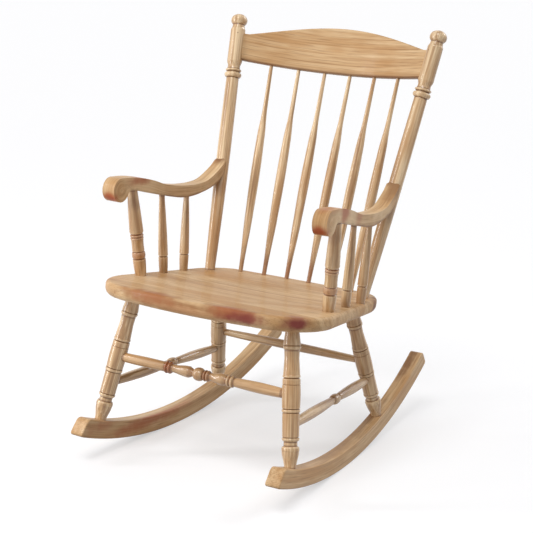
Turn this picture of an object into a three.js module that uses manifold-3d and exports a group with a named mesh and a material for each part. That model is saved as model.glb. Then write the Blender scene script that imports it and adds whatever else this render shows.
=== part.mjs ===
// Boston rocking chair: a wooden armchair with a spindle back, turned legs and two curved rockers.
// Millimetres, +Z up, the sitter faces -Y. The finished chair stands on z = 0, centred in x and y.

import * as THREE from 'three';
import { mergeVertices } from 'three/addons/utils/BufferGeometryUtils.js';
import Module from 'manifold-3d';

const wasm = await Module();
wasm.setup();

// Driving dimensions. While the chair is put together, y = 0 lies under the feet of the arm posts.

// The seat is one solid plank that falls towards the back.
const seatHeight = 410;
const seatFallShare = 0.1005;
const seatThickness = 34;
const seatFrontReach = 201;
const seatFrontBow = 16;
const seatFrontHalfWidth = 284;
const seatFrontCornerWidth = 130;
const seatFrontCornerDepth = 155;
const seatRearReach = 362;
const seatRearBow = 7;
const seatRearHalfWidth = 252;
const seatRearCornerWidth = 72;
const seatRearCornerDepth = 109;
const seatEdgeRound = 9;
const dishHalfWidth = 205;
const dishHalfDepth = 168;
const dishDepth = 5;
const dishSetback = 60;

// The rockers are sawn boards. Their undersides are cut in short flats, one of them on the floor.
const rockerThickness = 35;
const rockerHeight = 41;
const rockerRadius = 1105;
const rockerEndFlare = 50;
const rockerContactSetback = 155;
const rockerHalfSpacing = 240.5;
const rockerConvergeShare = 0.042;
const rockerFrontLength = 394;
const rockerRearLength = 515;
const rockerEndSlant = 31;
const rockerEndRound = 12;
const rockerEdgeRound = 3;
const rockerFacet = 60;

// Legs, from the rocker up to the underside of the seat. Their heads are set in from the seat's edges.
const legRadius = 20;
const legFootTenonRadius = 8;
const legFootTenon = 20;
const legSeatTenonRadius = 12;
const legSeatTenon = 20;
const frontLegSideInset = 76;
const frontLegInset = 113;
const frontLegFootForward = 58;
const rearLegSideInset = 66;
const rearLegInset = 98;
const rearLegFootBack = 100;

// Stretchers. Where they meet the legs is a share of the leg above its rocker.
const frontStretcherRadius = 15.5;
const frontStretcherShare = 0.517;
const rearStretcherRadius = 11.2;
const rearStretcherShare = 0.52;
const sideStretcherRadius = 12.5;
const sideStretcherFrontShare = 0.3;
const sideStretcherRearShare = 0.343;
const stretcherTenon = 13;

// Back posts, leaning back and outwards from the seat.
const postSideInset = 37;
const postInset = 98.5;
const postRakeShare = 0.3112;
const postSplayShare = 0.0993;
const postLength = 669;
const postRadius = 22;
const postTenon = 26;

// The crest rail is a bent board let into the posts. Its rise is measured up the slope of the back.
const crestRise = 551;
const crestEndHeight = 66;
const crestMiddleHeight = 114.5;
const crestThickness = 20;
const crestBow = 66;
const crestEdgeRound = 6;
const crestTenonThickness = 10;
const crestTenonInset = 8;
const crestTenonPast = 6;
const crestShoulder = 23;

// Back spindles, fanned between the seat and the crest rail.
const backSpindleCount = 6;
const backSpindleRadius = 11.8;
const backSpindleFootPitch = 62.7;
const backSpindleTopPitch = 71.2;
const backSpindleInset = 25;
const backSpindleFootBow = 17;
const backSpindleFootTenon = 22;
const backSpindleTopTenon = 22;

// Arms, from a scroll in front to a joint on the back post. The scroll reaches past the arm posts' feet.
const armWidth = 34;
const armFrontReach = 118.7;
const armRise = 44;
const armJointHeight = 230;
const armSplayShare = 0.065;
const armScrollRadius = 28;
const armScrollDrop = 13;
const armEdgeRound = 6;
const armEndSetback = 13;
const armTenonRadius = 7;
const armTenonEnd = 5;

// Turned supports under the arms, set in from the seat's widest place.
const armPostRadius = 16.5;
const armPostSideInset = 33.5;
const armPostFootY = 0;
const armPostTopY = -26;
const armPostTopOut = 2;
const armSpindleRadius = 12;
const frontArmSpindleSideInset = 36.5;
const frontArmSpindleFootY = 95;
const frontArmSpindleTopY = 89;
const rearArmSpindleSideInset = 39;
const rearArmSpindleFootY = 184;
const rearArmSpindleTopY = 191;
const armSupportFootTenon = 22;
const armSupportTopTenon = 15;

// Fits: the gap between a tenon and its bore, how far a cut runs past a surface, and how much longer
// a leg is left before its ends are scribed to what they stand on.
const fitGap = 0.3;
const cutOverrun = 12;
const scribeAllowance = 12;

// How finely the turned and curved pieces are divided.
const legSides = 12;
const postSides = 12;
const spindleSides = 10;
const stretcherSides = 10;
const crestSteps = 16;
const rockerSteps = 14;
const seatCornerSteps = 5;
const scrollSteps = 9;
const armSteps = 12;
const dishSides = 20;
const dishSteps = 3;

// Turning tables. A row is the form, where it ends as a share of the visible length, the radius there
// as a share of the piece's largest radius, and for a curved form its radius at the middle.

const legShares = [
  ['start', 0, 0.66],
  ['ease', 0.12, 0.96],
  ['bead', 0.152, 0.88, 0.98],
  ['taper', 0.156, 0.76],
  ['taper', 0.19, 0.755],
  ['bead', 0.218, 0.84, 0.965],
  ['taper', 0.39, 0.95],
  ['bead', 0.424, 0.95, 1.03],
  ['swell', 0.634, 0.99, 1.03],
  ['taper', 0.64, 0.87],
  ['bead', 0.662, 0.92, 0.98],
  ['taper', 0.78, 0.82],
  ['taper', 0.842, 0.85],
  ['bead', 0.87, 0.9, 0.98],
  ['taper', 0.885, 0.955],
  ['taper', 0.96, 0.8],
  ['taper', 1, 0.78],
];

const postShares = [
  ['start', 0, 0.58],
  ['swell', 0.744, 0.74, 0.77],
  ['taper', 0.748, 0.7],
  ['bead', 0.769, 0.78, 0.97],
  ['taper', 0.773, 0.74],
  ['bead', 0.785, 0.82, 0.92],
  ['taper', 0.806, 0.74],
  ['taper', 0.812, 0.875],
  ['taper', 0.938, 0.855],
  ['taper', 0.948, 0.72],
  ['taper', 0.957, 0.69],
  ['ball', 1, 0, 0.966],
];

const backSpindleShares = [
  ['start', 0, 0.47],
  ['ease', 0.3, 0.88],
  ['swell', 0.64, 0.86, 1],
  ['ease', 0.8, 0.5],
  ['taper', 1, 0.38],
];

const armPostShares = [
  ['start', 0, 0.8],
  ['taper', 0.2, 0.95],
  ['taper', 0.212, 0.8],
  ['bead', 0.282, 0.86, 0.97],
  ['cove', 0.43, 0.9, 0.85],
  ['bead', 0.488, 0.88, 0.96],
  ['taper', 0.5, 0.8],
  ['taper', 0.515, 1],
  ['swell', 0.96, 0.73, 0.9],
  ['taper', 1, 0.73],
];

const armSpindleShares = [
  ['start', 0, 0.86],
  ['taper', 0.205, 0.97],
  ['taper', 0.218, 0.85],
  ['taper', 0.235, 1],
  ['swell', 0.94, 0.58, 0.84],
  ['taper', 1, 0.57],
];

const frontStretcherShares = [
  ['start', 0, 0.7],
  ['swell', 0.27, 0.74, 0.78],
  ['bead', 0.292, 0.72, 0.92],
  ['bead', 0.314, 0.62, 0.9],
  ['ease', 0.418, 0.86],
  ['ease', 0.452, 0.58],
  ['bead', 0.516, 0.58, 1],
  ['bead', 0.534, 0.62, 0.84],
  ['bead', 0.554, 0.6, 0.82],
  ['ease', 0.65, 0.88],
  ['taper', 0.662, 0.72],
  ['bead', 0.704, 0.68, 0.96],
  ['swell', 1, 0.7, 0.8],
];

const sideStretcherShares = [
  ['start', 0, 0.72],
  ['swell', 0.5, 0.66, 0.97],
  ['taper', 0.514, 0.6],
  ['bead', 0.58, 0.6, 1],
  ['taper', 0.594, 0.66],
  ['swell', 1, 0.72, 0.97],
];

const rearStretcherShares = [
  ['start', 0, 0.76],
  ['swell', 1, 0.76, 1],
];

// Where the arm's upper and lower faces run: shares of its length in front of the post's axis, and
// shares of its rise above the joint.
const armTopShares = [
  [0.056, 0.1],
  [0.112, -0.27],
  [0.193, -0.62],
  [0.284, -0.71],
  [0.363, -0.69],
  [0.439, -0.62],
  [0.561, -0.42],
  [0.657, -0.11],
  [0.75, 0.13],
  [0.85, 0.29],
];
const armUndersideShares = [
  [0.872, -0.41],
  [0.804, -0.47],
  [0.616, -0.93],
  [0.433, -1.3],
  [0.323, -1.34],
  [0.214, -1.2],
  [0.129, -0.99],
  [0.068, -0.74],
];
const armEndTopShare = 0.45;
const armEndFootShare = -0.5;
const armScrollTurnShare = 0.7;

// The crest rail's upper edge is a cosine arch raised to this power.
const crestCurveShare = 1;

// A quarter turn drawn as a cubic curve pulls this share of the way to the corner.
const cornerPullShare = 0.55;

// Materials

function wood(color, roughness) {
  return new THREE.MeshStandardMaterial({ color, roughness, metalness: 0 });
}

function seatWood() {
  return wood('#c99f72', 0.42);
}

function turnedWood() {
  return wood('#caa377', 0.38);
}

function boardWood() {
  return wood('#cba676', 0.45);
}

// Solids

function toSolid(geometry) {
  const bare = geometry.clone();
  bare.deleteAttribute('normal');
  bare.deleteAttribute('uv');
  const merged = mergeVertices(bare);
  const corners = merged.index.array;
  const kept = [];
  for (let i = 0; i < corners.length; i += 3) {
    const [a, b, c] = corners.slice(i, i + 3);
    if (a !== b && b !== c && c !== a) {
      kept.push(a, b, c);
    }
  }
  return new wasm.Manifold(new wasm.Mesh({
    numProp: 3,
    vertProperties: Float32Array.from(merged.attributes.position.array),
    triVerts: Uint32Array.from(kept),
  }));
}

function toGeometry(solid) {
  const { vertProperties, triVerts } = solid.getMesh();
  const geometry = new THREE.BufferGeometry();
  geometry.setAttribute('position', new THREE.BufferAttribute(vertProperties, 3));
  geometry.setIndex(new THREE.BufferAttribute(triVerts, 1));
  geometry.computeVertexNormals();
  return geometry;
}

function piece(name, geometry, material) {
  const mesh = new THREE.Mesh(toGeometry(toSolid(geometry)), material);
  mesh.name = name;
  return mesh;
}

// A tool's solid, as seen from the frame of the piece that it works on.
function toolOn(mesh, tool) {
  mesh.updateWorldMatrix(true, false);
  tool.updateWorldMatrix(true, false);
  const toPiece = mesh.matrixWorld.clone().invert().multiply(tool.matrixWorld);
  return toSolid(tool.geometry.clone().applyMatrix4(toPiece));
}

function cut(mesh, tools) {
  const cutOne = (solid, tool) => solid.subtract(toolOn(mesh, tool));
  mesh.geometry = toGeometry(tools.reduce(cutOne, toSolid(mesh.geometry)));
}

function join(mesh, tools) {
  const joinOne = (solid, tool) => solid.add(toolOn(mesh, tool));
  mesh.geometry = toGeometry(tools.reduce(joinOne, toSolid(mesh.geometry)));
}

// Puts an object's origin at one point and turns its +Z towards another.
function aim(object, from, to) {
  object.position.copy(from);
  object.quaternion.setFromUnitVectors(new THREE.Vector3(0, 0, 1), to.clone().sub(from).normalize());
  return object;
}

// A plain cylinder along +Z, from one height to another.
function rod(radius, bottom, top, sides) {
  const geometry = new THREE.CylinderGeometry(radius, radius, top - bottom, sides);
  geometry.rotateX(Math.PI / 2);
  geometry.translate(0, 0, (bottom + top) / 2);
  return new THREE.Mesh(geometry);
}

// A board whose outline is drawn as (along y, up z) and whose thickness lies along x, edges rounded.
function boardGeometry(outline, thickness, edgeRound, roundSteps) {
  const depth = thickness - 2 * edgeRound;
  const geometry = new THREE.ExtrudeGeometry(new THREE.Shape(outline), {
    depth,
    bevelThickness: edgeRound,
    bevelSize: edgeRound,
    bevelOffset: -edgeRound,
    bevelSegments: roundSteps,
  });
  geometry.translate(0, 0, -depth / 2);
  geometry.rotateX(Math.PI / 2);
  geometry.rotateZ(Math.PI / 2);
  return geometry;
}

// Skins a row of closed rings, each with the same number of points, and caps both ends.
function loftGeometry(rings) {
  const size = rings[0].length;
  const corners = [];
  for (let ring = 0; ring + 1 < rings.length; ring += 1) {
    for (let i = 0; i < size; i += 1) {
      const next = (i + 1) % size;
      const [a, b] = [ring * size + i, ring * size + next];
      corners.push(a, b, a + size, b, b + size, a + size);
    }
  }
  const last = (rings.length - 1) * size;
  for (let i = 1; i + 1 < size; i += 1) {
    corners.push(0, i + 1, i, last, last + i, last + i + 1);
  }
  const geometry = new THREE.BufferGeometry().setFromPoints(rings.flat());
  geometry.setIndex(corners);
  return geometry;
}

// Replaces a sharp corner by a short curve.
function softCorner(before, corner, after, reach, steps) {
  const from = corner.clone().add(before.clone().sub(corner).setLength(reach));
  const to = corner.clone().add(after.clone().sub(corner).setLength(reach));
  return new THREE.QuadraticBezierCurve(from, corner, to).getPoints(steps);
}

// Turned work

// Adds a bulge or a hollow to the straight line between two radii.
function bulged(rise, u, from, to, middle) {
  const line = from + (to - from) * u;
  return line + (middle - (from + to) / 2) * rise;
}

const forms = {
  taper: { steps: 1, radius: (u, from, to) => bulged(0, u, from, to, 0) },
  ease: { steps: 3, radius: (u, from, to) => from + (to - from) * (1 - Math.cos(Math.PI * u)) / 2 },
  bead: { steps: 3, radius: (u, ...radii) => bulged(Math.sqrt(4 * u * (1 - u)), u, ...radii) },
  cove: { steps: 3, radius: (u, ...radii) => bulged(Math.sin(Math.PI * u), u, ...radii) },
  swell: { steps: 3, radius: (u, ...radii) => bulged(Math.sin(Math.PI * u), u, ...radii) },
  ball: { steps: 5, radius: (u, neck, end, middle) => middle * Math.cos(ballAngle(u, neck, middle)) },
};

// A ball starts on its neck and closes on the axis.
function ballAngle(u, neck, middle) {
  const start = Math.acos(neck / middle);
  return u * (start + Math.PI / 2) - start;
}

function ballHeight(u, neck, middle) {
  const bottom = Math.sin(ballAngle(0, neck, middle));
  return (Math.sin(ballAngle(u, neck, middle)) - bottom) / (1 - bottom);
}

// The radii and heights of a turning, from its foot to its head.
function turnedProfile(table, length, radius) {
  const points = [new THREE.Vector2(table[0][2] * radius, table[0][1] * length)];
  for (let row = 1; row < table.length; row += 1) {
    const [, from, fromRadius] = table[row - 1];
    const [name, to, toRadius, middle] = table[row];
    const form = forms[name];
    for (let step = 1; step <= form.steps; step += 1) {
      const u = step / form.steps;
      const height = name === 'ball' ? ballHeight(u, fromRadius, middle) : u;
      const share = form.radius(u, fromRadius, toRadius, middle);
      const onAxis = name === 'ball' && step === form.steps;
      const along = from + (to - from) * height;
      points.push(new THREE.Vector2(onAxis ? 0 : share * radius, along * length));
    }
  }
  return points;
}

// Lathes a profile, with plain extensions of its end radii below and above it.
function turnedGeometry(profile, below, above, sides) {
  const first = profile[0];
  const last = profile[profile.length - 1];
  const points = [new THREE.Vector2(0, first.y - below), new THREE.Vector2(first.x, first.y - below)];
  points.push(...profile.slice(below > 0 ? 0 : 1));
  if (above > 0) {
    points.push(new THREE.Vector2(last.x, last.y + above));
  }
  if (last.x > 0) {
    points.push(new THREE.Vector2(0, last.y + above));
  }
  const geometry = new THREE.LatheGeometry(points, sides);
  geometry.rotateX(Math.PI / 2);
  return geometry;
}

// The radius of a turning at a height.
function radiusAt(profile, height) {
  const above = Math.max(profile.findIndex((point) => point.y >= height), 1);
  const [low, high] = [profile[above - 1], profile[above]];
  return low.x + (high.x - low.x) * (height - low.y) / (high.y - low.y);
}

// Turns a piece between two points. Its visible part starts and ends short of them by the insets, and
// its ends run on below and above it as tenons of the same radius.
function turn(name, table, foot, head, size) {
  const { radius, sides, footTenon, headTenon, footInset = 0, headInset = 0 } = size;
  const profile = turnedProfile(table, foot.distanceTo(head) - footInset - headInset, radius);
  profile.forEach((point) => point.setY(point.y + footInset));
  const geometry = turnedGeometry(profile, footTenon, headTenon, sides);
  const mesh = aim(piece(name, geometry, turnedWood()), foot, head);
  return { mesh, foot, head, profile, size };
}

// The bores that a turned piece's tenons need.
function footBore({ foot, head, profile, size }) {
  const end = profile[0];
  const bore = rod(end.x + fitGap, end.y - size.footTenon - fitGap, end.y + cutOverrun, size.sides);
  return aim(bore, foot, head);
}

function headBore({ foot, head, profile, size }) {
  const end = profile[profile.length - 1];
  const bore = rod(end.x + fitGap, end.y - cutOverrun, end.y + size.headTenon + fitGap, size.sides);
  return aim(bore, foot, head);
}

// The outside of a turned piece, larger all round by the gap, for scribing what butts against it.
function sleeve({ foot, head, profile, size }) {
  const outside = profile.map((point) => new THREE.Vector2(point.x + fitGap, point.y));
  return aim(new THREE.Mesh(turnedGeometry(outside, 0, fitGap, size.sides)), foot, head);
}

// Reference planes and lines

const seatFall = Math.atan(seatFallShare);
const backRake = Math.atan(postRakeShare);
const backSplayShare = postSplayShare / Math.hypot(1, postRakeShare);
const postFootX = seatRearHalfWidth - postSideInset;
const postFootY = seatRearReach - postInset;
const armJointY = postFootY + postRakeShare * (armJointHeight + seatFallShare * postFootY);
const armLength = armJointY + armFrontReach;

function onSeat(x, y) {
  return new THREE.Vector3(x, y, seatHeight - seatFallShare * y);
}

function underSeat(x, y) {
  return onSeat(x, y).setZ(seatHeight - seatFallShare * y - seatThickness / Math.cos(seatFall));
}

// A point on the plane of the two post axes, or behind it, at a rise above the seat up that plane.
function onBack(x, behind, rise) {
  const offset = new THREE.Vector3(x, behind, rise);
  offset.applyAxisAngle(new THREE.Vector3(1, 0, 0), -backRake);
  return onSeat(0, postFootY).add(offset);
}

function onRocker(side, y) {
  const reach = (y - rockerContactSetback) * Math.hypot(1, rockerConvergeShare);
  const x = rockerHalfSpacing - rockerConvergeShare * (y - rockerContactSetback);
  return new THREE.Vector3(side * x, y, rockerTop(reach));
}

// A point of a piece that leans, at a share of the way from its foot to its head.
function along(member, share) {
  return member.foot.clone().lerp(member.head, share);
}

// Seat

function seatOutline() {
  const frontEdgeX = seatFrontHalfWidth - seatFrontCornerWidth;
  const frontEdge = new THREE.Vector2(frontEdgeX, seatFrontBow - seatFrontReach);
  const frontSide = new THREE.Vector2(seatFrontHalfWidth, frontEdge.y + seatFrontCornerDepth);
  const rearEdge = new THREE.Vector2(seatRearHalfWidth - seatRearCornerWidth, seatRearReach - seatRearBow);
  const rearSide = new THREE.Vector2(seatRearHalfWidth, rearEdge.y - seatRearCornerDepth);
  const taper = (rearSide.x - frontSide.x) / (rearSide.y - frontSide.y);
  const onSide = (y) => new THREE.Vector2(frontSide.x + taper * (y - frontSide.y), y);
  const half = new THREE.Path();
  half.moveTo(0, -seatFrontReach);
  half.quadraticCurveTo(frontEdge.x / 2, -seatFrontReach, frontEdge.x, frontEdge.y);
  cornerTo(half, onSide(frontEdge.y), frontSide);
  half.lineTo(rearSide.x, rearSide.y);
  cornerTo(half, onSide(rearEdge.y), rearEdge);
  half.quadraticCurveTo(rearEdge.x / 2, seatRearReach, 0, seatRearReach);
  const right = half.getPoints(seatCornerSteps);
  const left = right.slice(1, -1).reverse().map((point) => new THREE.Vector2(-point.x, point.y));
  return [...right, ...left];
}

// Rounds a path into a corner and out of it again.
function cornerTo(path, corner, end) {
  const into = path.currentPoint.clone().lerp(corner, cornerPullShare);
  const out = end.clone().lerp(corner, cornerPullShare);
  path.bezierCurveTo(into.x, into.y, out.x, out.y, end.x, end.y);
}

// The seat's plank, its upper face at z = 0.
function plankGeometry() {
  const depth = seatThickness - 2 * seatEdgeRound;
  const geometry = new THREE.ExtrudeGeometry(new THREE.Shape(seatOutline()), {
    depth,
    bevelThickness: seatEdgeRound,
    bevelSize: seatEdgeRound,
    bevelOffset: -seatEdgeRound,
    bevelSegments: 2,
  });
  geometry.translate(0, 0, seatEdgeRound - seatThickness);
  return geometry;
}

// The shallow hollow that the sitter's weight lies in.
function dish() {
  const points = [];
  for (let i = 0; i <= dishSteps; i += 1) {
    const share = i / dishSteps;
    points.push(new THREE.Vector2(dishHalfWidth * share, dishDepth * (share ** 2 - 1)));
  }
  points.push(new THREE.Vector2(dishHalfWidth, cutOverrun), new THREE.Vector2(0, cutOverrun));
  const geometry = new THREE.LatheGeometry(points, dishSides);
  geometry.rotateX(Math.PI / 2);
  geometry.scale(1, dishHalfDepth / dishHalfWidth, 1);
  geometry.translate(0, dishSetback, 0);
  return new THREE.Mesh(geometry);
}

// A slab over the seat's underside, lower by the gap, for scribing the heads of the legs.
function underSlab() {
  const width = 2 * seatFrontHalfWidth;
  const depth = 2 * (seatFrontReach + seatRearReach);
  const geometry = new THREE.BoxGeometry(width, depth, seatThickness);
  geometry.translate(0, 0, -seatThickness / 2 - fitGap);
  return new THREE.Mesh(geometry);
}

function tiltToSeat(object) {
  object.position.z = seatHeight;
  object.rotation.x = -seatFall;
  return object;
}

function seat() {
  const plank = piece('seat', plankGeometry(), seatWood());
  cut(plank, [dish()]);
  return tiltToSeat(plank);
}

// Rockers

// The upper edge's height over the floor, at a distance along the rocker from where it stands.
function rockerTop(reach) {
  const radius = rockerRadius - rockerHeight - rockerEndFlare;
  return rockerHeight + radius - Math.sqrt(radius ** 2 - reach ** 2);
}

function rockerUnderside(reach) {
  const lowest = Math.sqrt(rockerRadius ** 2 - (rockerFacet / 2) ** 2);
  return lowest - Math.sqrt(rockerRadius ** 2 - reach ** 2);
}

// The underside's corners, with a level flat under the chair's centre of mass.
function rockerFlats() {
  const angle = 2 * Math.asin(rockerFacet / (2 * rockerRadius));
  const reaches = [];
  for (let i = 0; rockerRadius * Math.sin((i + 0.5) * angle) < rockerRearLength - rockerFacet / 2; i += 1) {
    const reach = rockerRadius * Math.sin((i + 0.5) * angle);
    reaches.push(reach);
    if (reach < rockerFrontLength - rockerFacet / 2) {
      reaches.unshift(-reach);
    }
  }
  return [-rockerFrontLength, ...reaches, rockerRearLength];
}

function rockerOutline(lift) {
  const underside = rockerFlats().map((reach) => new THREE.Vector2(reach, rockerUnderside(reach)));
  const top = [];
  for (let i = 0; i <= rockerSteps; i += 1) {
    const length = rockerRearLength + rockerFrontLength - 2 * rockerEndSlant;
    const reach = rockerRearLength - rockerEndSlant - length * i / rockerSteps;
    top.push(new THREE.Vector2(reach, rockerTop(reach) + lift));
  }
  const outline = [...underside, ...top];
  const count = outline.length;
  const softened = [0, underside.length - 1, underside.length, count - 1];
  return outline.flatMap((corner, i) => {
    const before = outline[(i + count - 1) % count];
    const after = outline[(i + 1) % count];
    return softened.includes(i) ? softCorner(before, corner, after, rockerEndRound, 3) : [corner];
  });
}

function standRocker(object, side) {
  object.position.set(side * rockerHalfSpacing, rockerContactSetback, 0);
  object.rotation.z = side * Math.atan(rockerConvergeShare);
  return object;
}

function rocker(name, side) {
  const geometry = boardGeometry(rockerOutline(0), rockerThickness, rockerEdgeRound, 1);
  return standRocker(piece(name, geometry, boardWood()), side);
}

// The rocker's bed, wide and higher by the gap, for scribing the feet of the legs.
function rockerBed(side) {
  const bed = boardGeometry(rockerOutline(fitGap), 4 * legRadius, rockerEdgeRound, 1);
  return standRocker(new THREE.Mesh(bed), side);
}

// Legs and stretchers

// A leg stands on its rocker and under the seat with scribed shoulders, and has a slimmer tenon in each.
function leg(name, side, headX, headY, footY) {
  const foot = onRocker(side, footY);
  const head = underSeat(side * headX, headY);
  const size = {
    radius: legRadius,
    sides: legSides,
    footTenon: scribeAllowance,
    headTenon: scribeAllowance,
  };
  const member = turn(name, legShares, foot, head, size);
  cut(member.mesh, [rockerBed(side), tiltToSeat(underSlab())]);
  join(member.mesh, [legFootTenonRod(member, 0), legHeadTenonRod(member, 0)]);
  return member;
}

function legFootTenonRod({ foot, head }, gap) {
  return aim(rod(legFootTenonRadius + gap, -legFootTenon - gap, 2 * legRadius, legSides), foot, head);
}

function legHeadTenonRod({ foot, head }, gap) {
  const length = foot.distanceTo(head);
  const top = length + legSeatTenon + gap;
  return aim(rod(legSeatTenonRadius + gap, length - 2 * legRadius, top, legSides), foot, head);
}

// A stretcher runs from one leg's axis to another's, and is seen between their surfaces.
function stretcher(name, table, radius, from, fromShare, to, toShare) {
  const lengthOf = (member) => member.foot.distanceTo(member.head);
  const reachOf = (member, share) => radiusAt(member.profile, share * lengthOf(member));
  const size = {
    radius,
    sides: stretcherSides,
    footTenon: stretcherTenon,
    headTenon: stretcherTenon,
    footInset: reachOf(from, fromShare),
    headInset: reachOf(to, toShare),
  };
  const member = turn(name, table, along(from, fromShare), along(to, toShare), size);
  cut(from.mesh, [footBore(member)]);
  cut(to.mesh, [headBore(member)]);
  return member;
}

// Back

function post(name, side) {
  const foot = onSeat(side * postFootX, postFootY);
  const head = new THREE.Vector3(side * postSplayShare, postRakeShare, 1).setLength(postLength).add(foot);
  const size = { radius: postRadius, sides: postSides, footTenon: postTenon, headTenon: 0 };
  return turn(name, postShares, foot, head, size);
}

const crestHalfSpan = postFootX + backSplayShare * (crestRise + crestEndHeight / 2);
const crestRadius = (crestHalfSpan ** 2 + crestBow ** 2) / (2 * crestBow);

function crestHeight(x) {
  const share = Math.min(Math.abs(x) / (crestHalfSpan - crestShoulder), 1);
  const arch = Math.max(Math.cos(share * Math.PI / 2), 0) ** crestCurveShare;
  return crestEndHeight + (crestMiddleHeight - crestEndHeight) * arch;
}

// How far behind the posts' plane the middle of the rail lies.
function crestSetback(x) {
  return crestBow - crestRadius + Math.sqrt(crestRadius ** 2 - x ** 2);
}

// One cross-section of the rail: an upright rectangle with rounded corners, square to the bend.
function crestSection(angle, thickness, inset, round) {
  const x = crestRadius * Math.sin(angle);
  const outwards = new THREE.Vector3(Math.sin(angle), Math.cos(angle), 0);
  const centre = new THREE.Vector3(x, crestSetback(x), 0);
  const high = crestHeight(x) - inset - round;
  const low = inset + round;
  const wide = thickness / 2 - round;
  const corners = [[wide, low], [wide, high], [-wide, high], [-wide, low]];
  return corners.flatMap(([across, up], quarter) => [0, 1].map((share) => {
    const turnAngle = (quarter - 1 + share) * Math.PI / 2;
    const out = across + round * Math.cos(turnAngle);
    return centre.clone().addScaledVector(outwards, out).setZ(up + round * Math.sin(turnAngle));
  }));
}

function crestBoard(thickness, inset, past, round) {
  const reach = Math.asin(crestHalfSpan / crestRadius) + past / crestRadius;
  const rings = [];
  for (let i = 0; i <= crestSteps; i += 1) {
    rings.push(crestSection(reach * (2 * i / crestSteps - 1), thickness, inset, round));
  }
  return loftGeometry(rings);
}

function leanBack(object) {
  object.position.copy(onBack(0, 0, crestRise));
  object.rotation.x = -backRake;
  return object;
}

// The tenons are the ends of a thinner, lower board that runs on into the posts.
function crestTenons(gap) {
  const inset = crestTenonInset - gap;
  const board = crestBoard(crestTenonThickness + 2 * gap, inset, crestTenonPast + gap, fitGap);
  return leanBack(new THREE.Mesh(board));
}

function crestRail(posts) {
  const board = crestBoard(crestThickness, 0, 0, crestEdgeRound);
  const rail = leanBack(piece('crest_rail', board, boardWood()));
  cut(rail, posts.map(sleeve));
  join(rail, [crestTenons(0)]);
  posts.forEach((member) => cut(member.mesh, [crestTenons(fitGap)]));
  return rail;
}

function backSpindle(index, plank, rail) {
  const place = index - (backSpindleCount - 1) / 2;
  const footShare = 2 * place / (backSpindleCount - 1);
  const footY = seatRearReach - backSpindleInset - backSpindleFootBow * footShare ** 2;
  const foot = onSeat(place * backSpindleFootPitch, footY);
  const headX = place * backSpindleTopPitch;
  const head = onBack(headX, crestSetback(headX), crestRise);
  const member = turn(`back_spindle_${index + 1}`, backSpindleShares, foot, head, {
    radius: backSpindleRadius,
    sides: spindleSides,
    footTenon: backSpindleFootTenon,
    headTenon: backSpindleTopTenon,
  });
  cut(plank, [footBore(member)]);
  cut(rail, [headBore(member)]);
  return member;
}

// Arms

// The joint's centre, on the axis of the back post.
function armJoint(member) {
  const rise = member.head.z - member.foot.z;
  return along(member, (seatHeight + armJointHeight - member.foot.z) / rise);
}

function armPoints(table) {
  return table.map(([forward, up]) => new THREE.Vector2(-forward * armLength, up * armRise));
}

// The arm's end follows the lean of the post, a little in front of its axis.
function armEnd(share) {
  const up = share * armRise;
  return new THREE.Vector2(postRakeShare * up - armEndSetback, up);
}

function scrollPoints() {
  const centre = new THREE.Vector2(armScrollRadius - armLength, -armScrollDrop);
  const points = [];
  for (let i = 0; i <= scrollSteps; i += 1) {
    const angle = Math.PI / 2 + 2 * Math.PI * armScrollTurnShare * i / scrollSteps;
    const spoke = new THREE.Vector2(armScrollRadius, 0).rotateAround(new THREE.Vector2(), angle);
    points.push(spoke.add(centre));
  }
  return points;
}

const armUndersideCurve = new THREE.SplineCurve([...armPoints(armUndersideShares), armEnd(armEndFootShare)]);
const armUnderside = armUndersideCurve.getPoints(armSteps);

function armOutline() {
  const scroll = scrollPoints();
  const top = new THREE.SplineCurve([armEnd(armEndTopShare), ...armPoints(armTopShares), scroll[0]]);
  return [...top.getPoints(armSteps).slice(0, -1), ...scroll, ...armUnderside];
}

// The height of the arm's underside over its joint, at a distance in front of it.
function armUndersideAt(forward) {
  const after = armUnderside.findIndex((point) => point.x >= -forward);
  const [a, b] = [armUnderside[after - 1], armUnderside[after]];
  return a.y + (b.y - a.y) * (-forward - a.x) / (b.x - a.x);
}

function arm(name, side, member) {
  const joint = armJoint(member);
  const mesh = piece(name, boardGeometry(armOutline(), armWidth, armEdgeRound, 2), boardWood());
  mesh.position.copy(joint);
  mesh.rotation.z = side * Math.atan(armSplayShare);
  cut(mesh, [sleeve(member)]);
  join(mesh, [armTenon(joint, side, 0)]);
  cut(member.mesh, [armTenon(joint, side, fitGap)]);
  return mesh;
}

function armTenon(joint, side, gap) {
  const forward = new THREE.Vector3(side * armSplayShare, -1, 0);
  const tenon = rod(armTenonRadius + gap, armTenonEnd - gap, postRadius, spindleSides);
  return aim(tenon, joint, joint.clone().add(forward));
}

// A turned support stands in the seat and reaches up into the underside of the arm.
function armSupport(name, table, side, place, plank, armMesh) {
  const foot = onSeat(side * (seatFrontHalfWidth - place.inset), place.footY);
  const forward = armMesh.position.y - place.topY;
  const x = armMesh.position.x + side * (armSplayShare * forward + place.topOut);
  const up = armUndersideAt(forward * Math.hypot(1, armSplayShare));
  const head = new THREE.Vector3(x, place.topY, armMesh.position.z + up);
  const member = turn(name, table, foot, head, {
    radius: place.radius,
    sides: place.sides,
    footTenon: armSupportFootTenon,
    headTenon: armSupportTopTenon,
  });
  cut(plank, [footBore(member)]);
  cut(armMesh, [headBore(member)]);
  return member;
}

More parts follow.
